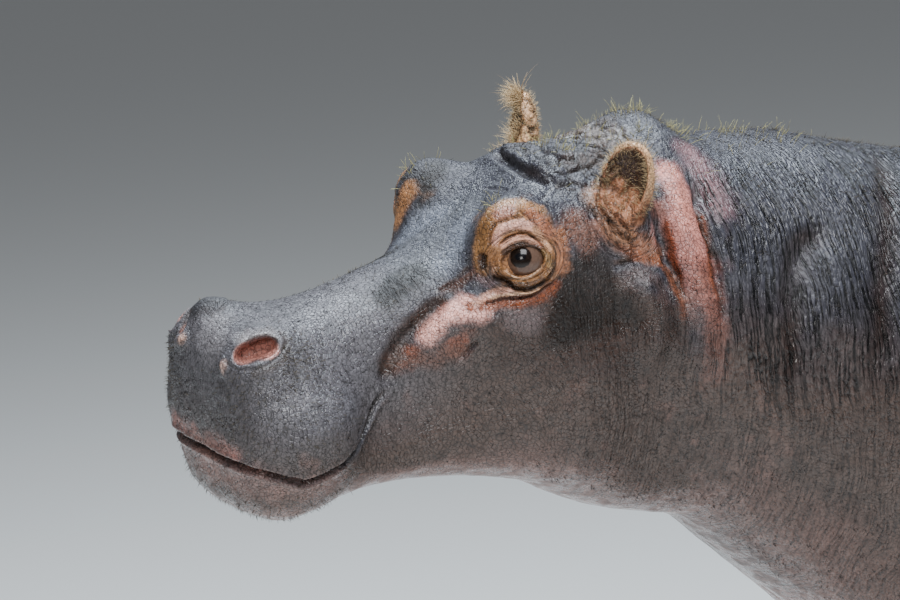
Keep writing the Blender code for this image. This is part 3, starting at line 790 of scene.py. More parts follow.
def nostril_opening(side: Side) -> Opening:
    """One nostril's rim; the right one is held a little more shut."""
    if side is Side.LEFT:
        return Opening(side, (0.094, 0.040, 0.034), 0.0320, 0.0155, 0.0140, 22, (0.000, 0.003))
    return Opening(side, (0.106, 0.035, 0.036), 0.0300, 0.0110, 0.0110, 22, (0.000, 0.003))


@dataclass(frozen=True)
class Ear:
    """A small cupped ear on its own root."""

    side: Side
    rise: float
    turns: Triple
    root: Triple = (0.136, 0.598, 0.160)
    radii: Triple = (0.041, 0.025, 0.068)
    hollow: Triple = (0.0335, 0.027, 0.0575)
    cup: tuple[float, float] = (-0.020, 0.011)  # the hollow's middle before and above the ear's own
    layer: tuple[float, float] = (-0.045, 0.014)  # how far before and behind it the ear's chart reaches

    def place(self) -> Matrix:
        """The ear's frame in the head's: x across it, y to its back, z to its tip."""
        root = Matrix.Translation((self.side.value * self.root[0], self.root[1], self.root[2]))
        lean, roll, yaw = (math.radians(turn) for turn in self.turns)
        sign = self.side.value
        return root @ turned_by(lean, sign * roll, sign * yaw)

    def frame(self, head: HeadFrame) -> Matrix:
        """The ear's frame in the model's."""
        return head.matrix() @ self.place()

    def inward(self, local: Array) -> Array:
        """Places of the head frame, given in the ear's."""
        turned = np.array(self.place().inverted())
        return local @ turned[:3, :3].T + turned[:3, 3]

    def cup_middle(self) -> Triple:
        """The middle of the hollow in the ear's frame."""
        return 0, self.cup[0], self.rise + self.cup[1]

    def chart(self, local: Array) -> Array:
        """Places of the head frame on the ear's flat chart, and those outside its layer far off."""
        inside = self.inward(local)
        chart = inside[:, (0, 2)] * (self.side.value, 1)
        chart[(inside[:, 1] > self.layer[1]) | (inside[:, 1] < self.layer[0])] = FAR
        return chart

    def build(self, head: HeadFrame) -> Object:
        """Makes the cup, to be joined to the hide.

        Args:
            head: The head's frame.

        Returns:
            The ear as an object of its own, closed all round.
        """
        frame = self.frame(head)
        outer = self.ball(frame @ Matrix.Translation((0, 0, self.rise)), self.radii)
        inner = self.ball(frame @ Matrix.Translation(self.cup_middle()), self.hollow)
        cut = outer.modifiers.new("cup", "BOOLEAN")
        cut.operation = "DIFFERENCE"
        cut.object = inner
        cut.solver = "EXACT"
        settle(outer)
        bpy.data.objects.remove(inner)
        return outer

    def coordinates(self, head: HeadFrame, points: Array) -> tuple[Array, ...]:
        """Places relative to the ear.

        Args:
            head: The head's frame.
            points: Rows of x, y, z in the model's frame.

        Returns:
            How far out of the ear's ball each is, how far out of its hollow (both 1 on the
            surface), and how high above the root.
        """
        inside = self.inward(head.inward(points))
        outer = np.linalg.norm((inside - (0, 0, self.rise)) / self.radii, axis=1)
        cup = np.linalg.norm((inside - self.cup_middle()) / self.hollow, axis=1)
        return outer, cup, inside[:, 2]

    def ball(self, place: Matrix, radii: Triple) -> Object:
        """A ball of three radii as an object."""
        mesh = bpy.data.meshes.new("ball")
        with editing(mesh) as bm:
            bmesh.ops.create_uvsphere(bm, u_segments=48, v_segments=32, radius=1)
            bmesh.ops.transform(bm, matrix=place @ Matrix.Diagonal((*radii, 1)), verts=bm.verts)
        return new_object("ball", mesh)


def turned_by(lean: float, roll: float, yaw: float) -> Matrix:
    """A turn about x, then y, then z."""
    return Matrix.Rotation(yaw, 4, "Z") @ Matrix.Rotation(roll, 4, "Y") @ Matrix.Rotation(lean, 4, "X")


EARS = (Ear(Side.LEFT, 0.048, (4, 16, 42)), Ear(Side.RIGHT, 0.062, (-4, 4, 24)))


class GroundMap:
    """Where each vertex is in the head's frame and on the charts, to lay lines on."""

    reach = 0.16  # how far from its middle the chart of an eye or a nostril is used
    layer = 0.075  # and how far before and behind its plane
    flank_from = 0.17  # the flank's lines leave out what is nearer the middle
    mouth_to = 0.27  # the mouth's lines leave out what is further back

    def __init__(self, local: Array) -> None:
        """Takes the vertices' places in the head's frame."""
        self.local = local
        self.wander = wandering(local)
        self.charts: dict[Ground, list[Array]] = {ground: [] for ground in Ground}
        self.charts[EAR] = [ear.chart(local) for ear in EARS]
        for ground, opening in ((EYE, eye_opening), (NOSTRIL, nostril_opening)):
            for side in Side:
                chart = opening(side).chart(self.wander)
                away = np.hypot(chart[:, 0], chart[:, 1]) > self.reach
                chart[away | (np.abs(chart[:, 2]) > self.layer)] = FAR
                self.charts[ground].append(chart[:, :2])

    def beside(self, hidden: Array) -> Array:
        """The side view of every vertex, with the hidden ones far off."""
        seen = self.wander[:, 1:].copy()
        seen[hidden] = FAR
        return seen

    def along(
        self, item: "Fold | Swelling | Patch", reach: float
    ) -> Iterable[tuple[Array, Array, Array]]:
        """Where a line and its mirror image are.

        Args:
            item: What is drawn along the line.
            reach: How far from the line vertices are looked for.

        Yields:
            Vertex numbers, their distance from the line, and their place along it from 0 to 1.
        """
        line = np.array(item.line, float)
        if item.ground is HEAD:
            grounds = [(self.wander, line)]
            if item.mirrored:
                grounds.append((self.wander, line * (-1, 1, 1)))
        elif item.ground is FLANK:
            grounds = [(self.beside(np.abs(self.wander[:, 0]) < self.flank_from), line)]
        elif item.ground is MOUTH:
            grounds = [(self.beside(self.wander[:, 1] > self.mouth_to), line)]
        else:
            sides = slice(0, 2 if item.mirrored else 1)
            grounds = [(chart, line) for chart in self.charts[item.ground][sides]]
        for places, drawn in grounds:
            low = drawn.min(axis=0) - reach
            high = drawn.max(axis=0) + reach
            chosen = np.nonzero(np.all((places > low) & (places < high), axis=1))[0]
            if len(chosen):
                yield chosen, *line_distance(places[chosen], drawn)


# ---------------------------------------------------------------- the hide's shape


@dataclass
class HideShape:
    """The shape of the whole hide, in one piece from the nostrils to the tail."""

    nodes: dict[str, Object]
    head: HeadFrame
    front_voxel: float = 0.003
    rear_voxel: float = 0.0075
    front_triangles: int = 122000
    rear_triangles: int = 52000
    seam: float = 0.770
    seam_gap: float = 0.004
    spare_front: float = 0.05  # how far past the seam each half is made, to be cut back at the end
    spare_rear: float = 0.08
    growth: float = 0.0007
    eye_room: float = 0.001
    eye_reach: float = 0.062

    def build(self) -> Mesh:
        """Makes the front and the rear, joins them and refines what needs it."""
        front = self.front()
        rear = self.rear()
        return self.join(front, rear)

    def gather(self, names: Iterable[str], extra: Iterable[Object]) -> Object:
        """One object of copies of the flesh, each grown a hair so that they overlap."""
        whole = bmesh.new()
        for name in names:
            bm = bmesh.new()
            bm.from_mesh(self.nodes[name].data)
            bmesh.ops.remove_doubles(bm, verts=bm.verts, dist=1e-5)
            bm.normal_update()
            for vert in bm.verts:
                vert.co += vert.normal * self.growth
            grown = bpy.data.meshes.new("grown")
            bm.to_mesh(grown)
            bm.free()
            whole.from_mesh(grown)
            bpy.data.meshes.remove(grown)
        for obj in extra:
            whole.from_mesh(obj.data)
            bpy.data.objects.remove(obj)
        for side in Side:
            place = Matrix.Translation(self.head.matrix() @ eye_centre(side))
            radius = EYE_RADIUS + self.eye_room
            bmesh.ops.create_uvsphere(whole, u_segments=40, v_segments=24, radius=radius, matrix=place)
        mesh = bpy.data.meshes.new("hide_part")
        whole.to_mesh(mesh)
        whole.free()
        return new_object("hide_part", mesh)

    def remesh(self, obj: Object, voxel: float) -> None:
        """Turns the overlapping solids into one closed skin."""
        modifier = obj.modifiers.new("skin", "REMESH")
        modifier.mode = "VOXEL"
        modifier.voxel_size = voxel
        modifier.adaptivity = 0
        settle(obj)

    def trim(self, mesh: Mesh, level: float, keep_front: bool) -> None:
        """Cuts a mesh across the neck and keeps one side."""
        with editing(mesh) as bm:
            bmesh.ops.bisect_plane(
                bm,
                geom=bm.verts[:] + bm.edges[:] + bm.faces[:],
                plane_co=Vector(self.head.outward(np.array((0, level, 0)))),
                plane_no=(0, 1, 0),
                clear_outer=keep_front,
                clear_inner=not keep_front,
            )

    def front(self) -> Object:
        """The head and the neck's front, with all their relief."""
        obj = self.gather(FRONT_FLESH, [ear.build(self.head) for ear in EARS])
        self.remesh(obj, self.front_voxel)
        self.trim(obj.data, self.seam + self.spare_front, True)
        surface = Surface(obj.data)
        local = self.head.inward(surface.points)
        weight = np.ones(len(local))
        for ear in EARS:
            away, _, rise = ear.coordinates(self.head, surface.points)
            weight *= 0.18 + 0.82 * smooth_step(away, 1.1, 1.9)
        for side in Side:
            opening = nostril_opening(side)
            away = np.linalg.norm(local - opening.middle(), axis=1)
            weight *= 0.35 + 0.65 * smooth_step(away, 0.03, 0.06)
        self.fair(surface, 60, weight)
        surface.write()
        self.refine_openings(obj.data)
        surface = Surface(obj.data)
        self.sculpt_head(surface)
        surface.write()
        self.trim(obj.data, self.seam - self.seam_gap, True)
        self.thin(obj, self.front_triangles)
        LOG.info("hide, front: %d triangles", triangle_count(obj.data))
        return obj

    def fair(self, surface: Surface, rounds: int, weight: Array) -> None:
        """Smooths facets away, then gives back the broad shape that smoothing shrank."""
        before = surface.points.copy()
        surface.relax(rounds, weight)
        smooth = surface.points
        surface.points = before - smooth
        surface.relax(rounds, weight)
        surface.points = smooth + surface.points

    def refine_openings(self, mesh: Mesh) -> None:
        """Halves the edges round the eyes twice and round the nostrils once."""
        for reach_eye, reach_nostril in ((0.056, 0.048), (0.036, 0.0)):
            surface = Surface(mesh)
            local = self.head.inward(surface.points)
            near = np.zeros(len(local), bool)
            for side in Side:
                near |= eye_opening(side).within(local, reach_eye, 0)
                near |= np.linalg.norm(local - nostril_opening(side).middle(), axis=1) < reach_nostril
            both = near[surface.ends].all(axis=1)
            with editing(mesh) as bm:
                bm.edges.ensure_lookup_table()
                edges = [bm.edges[index] for index in np.nonzero(both)[0]]
                bmesh.ops.subdivide_edges(bm, edges=edges, cuts=1, use_grid_fill=True)
        surface = Surface(mesh)
        local = self.head.inward(surface.points)
        weight = np.zeros(len(local))
        for side in Side:
            chart = eye_opening(side).chart(local)
            reach = np.hypot(chart[:, 0], chart[:, 1])
            calm = smooth_step(reach, self.eye_reach, 0.05) * (chart[:, 2] > 0)
            weight = np.maximum(weight, calm)
        surface.relax(6, weight)
        surface.write()

    def sculpt_head(self, surface: Surface) -> None:
        """Lays every swelling, fold, crack and opening of the head and neck."""
        for items in (SWELLINGS, FOLDS):
            relief = Relief(surface, self.head)
            for item in items:
                if isinstance(item, Swelling):
                    relief.lay_swelling(item)
                else:
                    relief.lay_fold(item)
            if items is FOLDS:
                for area in CRACKED:
                    relief.lay_cracks(area)
                relief.rise += 0.0006 * layered_noise(relief.local, 0.018, 31, 2)
            relief.apply()
        for side in Side:
            Nostril(nostril_opening(side)).lay(surface, self.head)
            Lids(eye_opening(side)).lay(surface, self.head)

    def rear(self) -> Object:
        """The body behind the seam, with its feet flat on the floor."""
        obj = self.gather(FLESH, [])
        self.remesh(obj, self.rear_voxel)
        self.trim(obj.data, self.seam - self.spare_rear, False)
        surface = Surface(obj.data)
        heights = surface.points[:, 2]
        weight = 0.22 + 0.78 * smooth_step(heights, 0.10, 0.42)
        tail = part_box("tail")
        weight *= 0.12 + 0.88 * smooth_step(surface.points[:, 1], tail[0].y + 0.03, tail[0].y - 0.05)
        self.fair(surface, 60, weight)
        low = smooth_step(surface.points[:, 2], 0.09, 0.0)
        surface.points[:, 2] -= low * 0.0025
        surface.points[:, 2] = np.maximum(surface.points[:, 2], 0.0)
        relief = Relief(surface, self.head)
        for crease in FOLDS:
            relief.lay_fold(crease)
        for roll in SWELLINGS:
            relief.lay_swelling(roll)
        for area in CRACKED:
            relief.lay_cracks(area)
        for limb, rings in RINGS.items():
            for side in Side:
                box = [np.array(corner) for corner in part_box(f"{limb}_{side.name.lower()}")]
                for ring in rings:
                    relief.lay_ring(ring, *box)
        relief.rise += 0.0012 * layered_noise(relief.local, 0.050, 31, 2)
        relief.rise *= smooth_step(surface.points[:, 2], 0.0, 0.03)
        relief.apply()
        surface.write()
        self.trim(obj.data, self.seam + self.seam_gap, False)
        self.thin(obj, self.rear_triangles)
        LOG.info("hide, rear: %d triangles", triangle_count(obj.data))
        return obj

    def thin(self, obj: Object, triangles: int) -> None:
        """Merges vertices where the surface is plain until so many triangles are left."""
        modifier = obj.modifiers.new("thin", "DECIMATE")
        modifier.ratio = triangles / triangle_count(obj.data)
        settle(obj)

    def join(self, front: Object, rear: Object) -> Mesh:
        """Bridges the gap across the neck and smooths it over."""
        bm = bmesh.new()
        for obj in (front, rear):
            bm.from_mesh(obj.data)
            bpy.data.objects.remove(obj)
        rims = [edge for edge in bm.edges if edge.is_boundary]
        made = bmesh.ops.bridge_loops(bm, edges=rims)
        bmesh.ops.triangulate(bm, faces=made["faces"])
        bmesh.ops.recalc_face_normals(bm, faces=bm.faces)
        mesh = bpy.data.meshes.new("Hide")
        bm.to_mesh(mesh)
        bm.free()
        surface = Surface(mesh)
        away = np.abs(self.head.inward(surface.points)[:, 1] - self.seam)
        surface.relax(14, smooth_step(away, 0.030, 0.006))
        surface.write()
        mesh.shade_smooth()
        return mesh


# ---------------------------------------------------------------- the hide's colours

Colour = tuple[int, int, int]


def linear(colour: Colour) -> Array:
    """A colour given from 0 to 255 as shown on a screen, turned into light."""
    shown = np.array(colour) / 255
    return np.where(shown <= 0.04045, shown / 12.92, ((shown + 0.055) / 1.055) ** 2.4)


@dataclass(frozen=True)
class Patch:
    """A patch of colour round a line, with an uneven edge."""

    line: Line
    reach: float
    colour: Colour
    strength: float
    soft: float
    mirrored: bool
    ground: Ground


def patch(
    ground: Ground,
    reach: float,
    colour: Colour,
    strength: float,
    soft: float,
    *points: tuple,
    mirrored: bool = True,
) -> Patch:
    """A patch whose reach and points are given in millimetres."""
    return Patch(line_of(points), metres(reach), colour, strength, soft, mirrored, ground)


SLATE = (54, 54, 61)
SNOUT = (82, 80, 84)
UMBER = (68, 55, 49)
PINK = (200, 134, 120)
PALE_PINK = (206, 148, 134)
OCHRE = (142, 98, 62)
ORANGE = (108, 54, 28)
SOOT = (24, 15, 10)
PURPLE = (98, 66, 54)
UNDERSIDE = (120, 92, 84)
FRECKLE = (112, 84, 76)
# Painted shade for the bottom of the folds and of the cracks.
FOLD_SHADE = (38, 24, 17)
CRACK_SHADE = (30, 24, 22)
EAR_BACK = (146, 98, 70)
EAR_INSIDE = (164, 112, 82)
EAR_CUP_SHADE = (34, 20, 14)
EAR_RIM = (206, 164, 124)

PATCHES = (
    # The muzzle: lips, chin and the insides and rims of the nostrils, with painted shade under their upper
    # rims and in an arc behind them.
    patch(HEAD, 50, (140, 108, 100), 0.7, 0.9, (0, 10, -135), (110, 40, -140), (130, 110, -150)),
    patch(HEAD, 20, PINK, 0.5, 0.9, (0, -20, -100), (90, -5, -105), (125, 60, -120)),
    patch(NOSTRIL, 24, (136, 130, 130), 0.7, 0.8, (-10, 14), (14, 16)),
    patch(NOSTRIL, 16.5, (178, 124, 112), 1.0, 0.35, (-16, -2), (16, 6)),
    # Painted shade under the upper edge of the rim, inside the nostril.
    patch(NOSTRIL, 4, (96, 62, 52), 0.7, 0.9, (-20, 4), (0, 13), (18, 16)),
    patch(HEAD, 11, (196, 160, 146), 0.8, 0.6, (68, 4, 14)),
    patch(HEAD, 10, (186, 146, 126), 0.8, 0.6, (-57, 3, 20), mirrored=False),
    patch(HEAD, 6.5, (142, 78, 52), 0.9, 0.6, (-70, 6, 30), (-71, 18, 48), (-71, 26, 55), mirrored=False),
    patch(HEAD, 32, (26, 25, 28), 0.85, 0.8, (-65, 30, 62), (-46, 50, 66), mirrored=False),
    # Painted shadow on the top of the right brow.
    patch(HEAD, 36, (24, 22, 24), 0.85, 0.8, (-100, 392, 196), (-80, 396, 202), mirrored=False),
    patch(HEAD, 6, (58, 52, 52), 0.8, 0.8, (-67, 12, 50), (-62, 26, 62), (-56, 42, 68), mirrored=False),
    # Painted shade along the crease behind the right nostril's mound.
    patch(HEAD, 6, (58, 54, 56), 0.7, 0.8, (-48, 72, 70), (-30, 58, 64), (-20, 38, 56), mirrored=False),
    # Painted shade in a dark arc behind and above the nostril, beyond its rim.
    patch(HEAD, 10, (62, 54, 50), 0.65, 0.9, (88, 84, 52), (106, 79, 41), (121, 68, 26), (126, 45, 18),
         (120, 22, 12)),
    patch(HEAD, 40, (112, 108, 110), 0.7, 0.9, (23, 13, 31), (-10, 30, 45), mirrored=False),
    # The bridge and the sides of the snout.
    patch(HEAD, 60, (72, 74, 80), 0.8, 0.9, (30, 330, 100), (0, 420, 150)),
    # Painted shadow on the inner side of the right brow.
    patch(HEAD, 24, (22, 18, 17), 0.85, 0.8, (-78, 421, 204), (-92, 431, 212), mirrored=False),
    patch(HEAD, 30, (74, 73, 76), 0.7, 0.9, (78, 300, 85), (60, 230, 70)),
    patch(HEAD, 29, (14, 11, 9), 0.95, 0.6, (64, 262, 73), (54, 283, 86), (49, 314, 99)),
    # Painted shadow down the inner side of the right brow.
    patch(HEAD, 18, (20, 16, 14), 0.85, 0.8, (-78, 408, 184), (-67, 398, 161), (-60, 384, 140),
         mirrored=False),
    # From the corner of the mouth: pink bulge, brown furrow darkened with painted shade, and the brown below
    # them.
    patch(HEAD, 26, (92, 60, 48), 0.85, 0.8, (100, 250, -10), (112, 300, -4), (130, 340, 6)),
    # Painted shade down the furrow from the corner of the mouth, over its brown.
    patch(HEAD, 19, (52, 36, 26), 0.9, 0.9, (104, 328, 66), (99, 304, 50), (99, 286, 36), (101, 264, 17),
         (104, 240, -12)),
    patch(HEAD, 24.5, PALE_PINK, 0.95, 0.5, (111, 302, 24), (114, 328, 44), (127, 354, 56), (143, 370, 54)),
    patch(HEAD, 13, (98, 60, 48), 0.85, 0.8, (124, 324, 14), (132, 341, 28), (145, 358, 32)),
    patch(HEAD, 10, (118, 70, 54), 0.85, 0.8, (101, 256, 12), (108, 280, 4), (114, 300, 8), (126, 322, 16),
         (140, 346, 20)),
    # Painted shade along the crease in front of the eye.
    patch(HEAD, 13, (66, 40, 28), 0.8, 0.9, (92, 338, 80), (106, 357, 88), (118, 376, 105)),
    # Painted sheen: a pale blue-grey patch beside the bridge in front of the eye.
    patch(HEAD, 30, (98, 102, 112), 0.85, 0.9, (69, 357, 112), (60, 384, 138), (33, 400, 158)),
    # Cheek: dark all over, grey below, sooty behind, purple above.
    patch(HEAD, 85, (54, 40, 34), 0.85, 0.6, (165, 430, 20), (180, 520, 20), (180, 610, 10)),
    patch(HEAD, 27, (92, 80, 80), 0.8, 0.9, (164, 408, 44), (172, 436, 40)),
    patch(HEAD, 34, (20, 10, 4), 0.85, 0.8, (176, 495, 61), (179, 476, 21), (181, 508, 31)),
    patch(HEAD, 46, SOOT, 0.9, 0.55, (170, 505, 90), (180, 510, 45), (178, 560, 45)),
    patch(HEAD, 20, SOOT, 0.7, 0.7, (165, 540, 120), (172, 560, 90)),
    patch(HEAD, 34, PURPLE, 0.9, 0.7, (150, 520, 165), (158, 535, 142)),
    patch(HEAD, 16, (156, 104, 84), 0.7, 0.9, (150, 508, 120)),
    patch(HEAD, 14, (160, 108, 88), 0.6, 0.9, (150, 560, 160)),
    # Round the eye, with painted shade under the upper lid's margin, below the lower lid and in the notch
    # and the pit at the inner corner.
    patch(EYE, 58, OCHRE, 0.95, 0.3, (-12, 30), (0, 6)),
    patch(EYE, 13, (122, 86, 50), 0.8, 0.6, (-52, 50), (-60, 30), (-60, 0), (-56, -16)),
    patch(EYE, 9, (156, 114, 78), 0.8, 0.6, (-45, 66), (-28, 77), (0, 79), (26, 69)),
    patch(EYE, 9, (160, 112, 98), 0.8, 0.6, (-36, 62), (-18, 69)),
    patch(EYE, 12, (148, 94, 72), 0.8, 0.6, (10, 64), (24, 52), (36, 38)),
    patch(EYE, 12, (150, 98, 68), 0.8, 0.6, (50, 36), (57, 12), (55, -12)),
    patch(EYE, 8.5, (196, 144, 126), 0.85, 0.6, (-40, 24), (-36, 36), (-27, 45), (-15, 50), (-2, 50),
         (10, 46)),
    patch(EYE, 7, (176, 132, 102), 0.8, 0.6, (16, 42), (28, 31), (37, 17)),
    patch(EYE, 6.2, (198, 146, 122), 0.9, 0.6, (-29, 18), (-20, 27), (-8, 31.5), (4, 31), (15, 26),
         (23, 19)),
    # Painted shade on the underside of the upper lid's margin.
    patch(EYE, 5.4, (46, 29, 22), 0.9, 0.6, (-28, 8), (-18, 17.5), (-4, 22.5), (8, 22), (20, 16), (27, 8)),
    patch(EYE, 8.5, (116, 80, 48), 0.9, 0.6, (-33, -18), (-20, -28), (-3, -33), (12, -32), (26, -26),
         (36, -14), (39, 2)),
    # Painted shadow under the roll of the lower lid, darkest in the crease below it.
    patch(EYE, 6.2, (74, 46, 22), 0.9, 0.8, (-22, -34.5), (-4, -36.5), (14, -35.5), (27, -29)),
    patch(EYE, 3.4, (24, 12, 6), 0.9, 0.8, (-26, -38.5), (-6, -42.5), (12, -41), (27, -34.5)),
    patch(EYE, 1.7, (196, 160, 130), 0.8, 0.6, (-26.4, -16.5), (-16.8, -23.5), (-4.4, -26.8), (8, -25),
         (19, -17.5), (28, -6.5)),
    patch(EYE, 5.5, (164, 130, 90), 0.8, 0.6, (30, 10), (37, 2), (38, -8)),
    # Painted shade in the pit in front of the inner corner and in the notch below it.
    patch(EYE, 7.5, (52, 32, 22), 0.85, 0.6, (-58, 2), (-57, -12)),
    patch(EYE, 5, (42, 26, 18), 0.85, 0.6, (-42, -28), (-25, -31), (-18, -36)),
    patch(EYE, 10, (118, 88, 84), 0.4, 0.6, (-62, -26), (-46, -36)),
    patch(EYE, 9.5, ORANGE, 0.9, 0.6, (-75, -66), (-40, -64), (-10, -60), (12, -57), (30, -48), (46, -34)),
    patch(EYE, 7, (188, 138, 116), 0.7, 0.6, (-66, -60), (-40, -48), (-20, -46)),
    patch(EYE, 2.6, (200, 158, 126), 0.8, 0.6, (-46, -56), (-26, -51), (-10, -48), (8, -46), (22, -41)),
    patch(HEAD, 19, (150, 104, 66), 0.9, 0.6, (-109, 376, 136), (-100, 380, 160), (-93, 387, 178),
         mirrored=False),
    patch(HEAD, 11, (150, 100, 74), 0.9, 0.6, (134, 594, 204), (139, 600, 196)),
    patch(HEAD, 10, (40, 22, 14), 0.8, 0.8, (154, 604, 190), (164, 610, 214)),
    # Round the ear, and the cheek bulge below it.
    patch(HEAD, 26, (122, 80, 58), 0.9, 0.6, (156, 580, 146), (168, 604, 126), (176, 634, 112)),
    patch(HEAD, 12, (132, 92, 86), 0.8, 0.8, (170, 640, 150), (176, 642, 120)),
    patch(HEAD, 26, (124, 88, 64), 0.85, 0.7, (128, 572, 196), (150, 578, 172), (164, 592, 142)),
    patch(HEAD, 13, (134, 78, 50), 0.85, 0.8, (160, 585, 122), (172, 604, 108), (178, 634, 96)),
    # Painted highlight on the top of the cheek bulge.
    patch(HEAD, 34, (88, 70, 66), 0.9, 0.8, (176, 600, 74), (184, 624, 50)),
    patch(HEAD, 34, (28, 17, 10), 0.9, 0.9, (182, 600, 26), (186, 632, 14)),
    patch(HEAD, 14, (132, 80, 56), 0.8, 0.6, (176, 640, 100), (186, 652, 80), (195, 659, 55), (201, 662, 20),
         (200, 658, -10)),
    patch(HEAD, 17, (146, 100, 90), 0.85, 0.8, (150, 655, 172), (164, 655, 150), (174, 655, 128)),
    # The roll behind the ear: pink, with rust along its front.
    patch(HEAD, 32, (192, 124, 110), 0.95, 0.8, (120, 690, 205), (150, 690, 184), (178, 686, 142),
         (196, 692, 95), (210, 698, 45)),
    patch(HEAD, 26, (58, 25, 16), 0.9, 0.9, (200, 694, 85), (210, 698, 45), (214, 698, 0)),
    patch(HEAD, 30, (116, 76, 66), 0.8, 0.9, (216, 698, 70), (226, 702, 30), (230, 704, -10)),
    patch(HEAD, 34, (96, 68, 60), 0.8, 0.9, (232, 704, -10), (228, 700, -60)),
    patch(HEAD, 18, (126, 94, 86), 0.75, 0.9, (207, 678, 44), (213, 682, 10)),
    patch(HEAD, 9.5, (100, 44, 20), 0.9, 0.6, (168, 660, 146), (180, 662, 108), (191, 671, 78),
         (204, 681, 42)),
    patch(HEAD, 9.5, (112, 60, 38), 0.85, 0.6, (176, 715, 150), (190, 712, 127), (201, 709, 100),
         (210, 708, 70), (217, 707, 40)),
    patch(HEAD, 34, (134, 98, 100), 0.6, 0.9, (89, 748, 228), (113, 752, 209), (144, 748, 186),
         (168, 746, 160)),
    patch(HEAD, 14, (150, 116, 112), 0.6, 0.9, (168, 742, 150), (190, 742, 118), (206, 742, 85)),
    # The top of the head between the ears is dull brown in places.
    patch(HEAD, 40, (104, 94, 88), 0.6, 0.9, (-30, 650, 250), (60, 640, 236)),
    patch(HEAD, 30, (58, 42, 32), 0.85, 0.9, (60, 570, 232), (78, 607, 228), (63, 632, 238)),
)


@dataclass(frozen=True)
class BodyZone:
    """A zone of colour on the body: a soft ball in the model's frame, in shares of its box."""

    centre: Triple
    radii: Triple
    colour: Colour
    strength: float


ZONES = (
    # Belly, throat, brisket, the insides of the legs, groin and the root of the tail.
    BodyZone((0.0, 0.55, 0.16), (0.30, 0.28, 0.20), PINK, 0.75),
    BodyZone((0.0, 0.27, 0.36), (0.26, 0.10, 0.18), (178, 132, 122), 0.6),
    BodyZone((0.0, 0.42, 0.22), (0.20, 0.08, 0.22), (178, 132, 122), 0.7),
    BodyZone((0.0, 0.86, 0.22), (0.18, 0.10, 0.26), PINK, 0.75),
    BodyZone((0.0, 0.985, 0.50), (0.16, 0.03, 0.22), (164, 118, 108), 0.6),
    BodyZone((0.34, 0.36, 0.40), (0.16, 0.05, 0.12), (160, 116, 106), 0.45),
    BodyZone((-0.34, 0.36, 0.40), (0.16, 0.05, 0.12), (160, 116, 106), 0.45),
)

# Places of the head that are dull, with their reach: brows, foot of the left ear, cheek, nose, neck.
DRIER = (
    ((-0.098, 0.402, 0.206), 0.050),
    ((0.075, 0.600, 0.229), 0.036),
    ((0.175, 0.525, 0.070), 0.045),
    ((-0.056, 0.036, 0.064), 0.040),
    ((0.056, 0.280, 0.084), 0.042),
    ((0.240, 0.850, 0.066), 0.060),
    ((-0.084, 0.425, 0.207), 0.034),
    ((-0.067, 0.398, 0.165), 0.022),
)
BRIDGE_SPOT = (0.056, 0.283, 0.085)  # a field of deeper wrinkles on each side of the bridge
ROLL = ((0.15, 0.69, 0.18), (0.19, 0.69, 0.11), (0.21, 0.70, 0.02))  # the smooth roll behind the ear


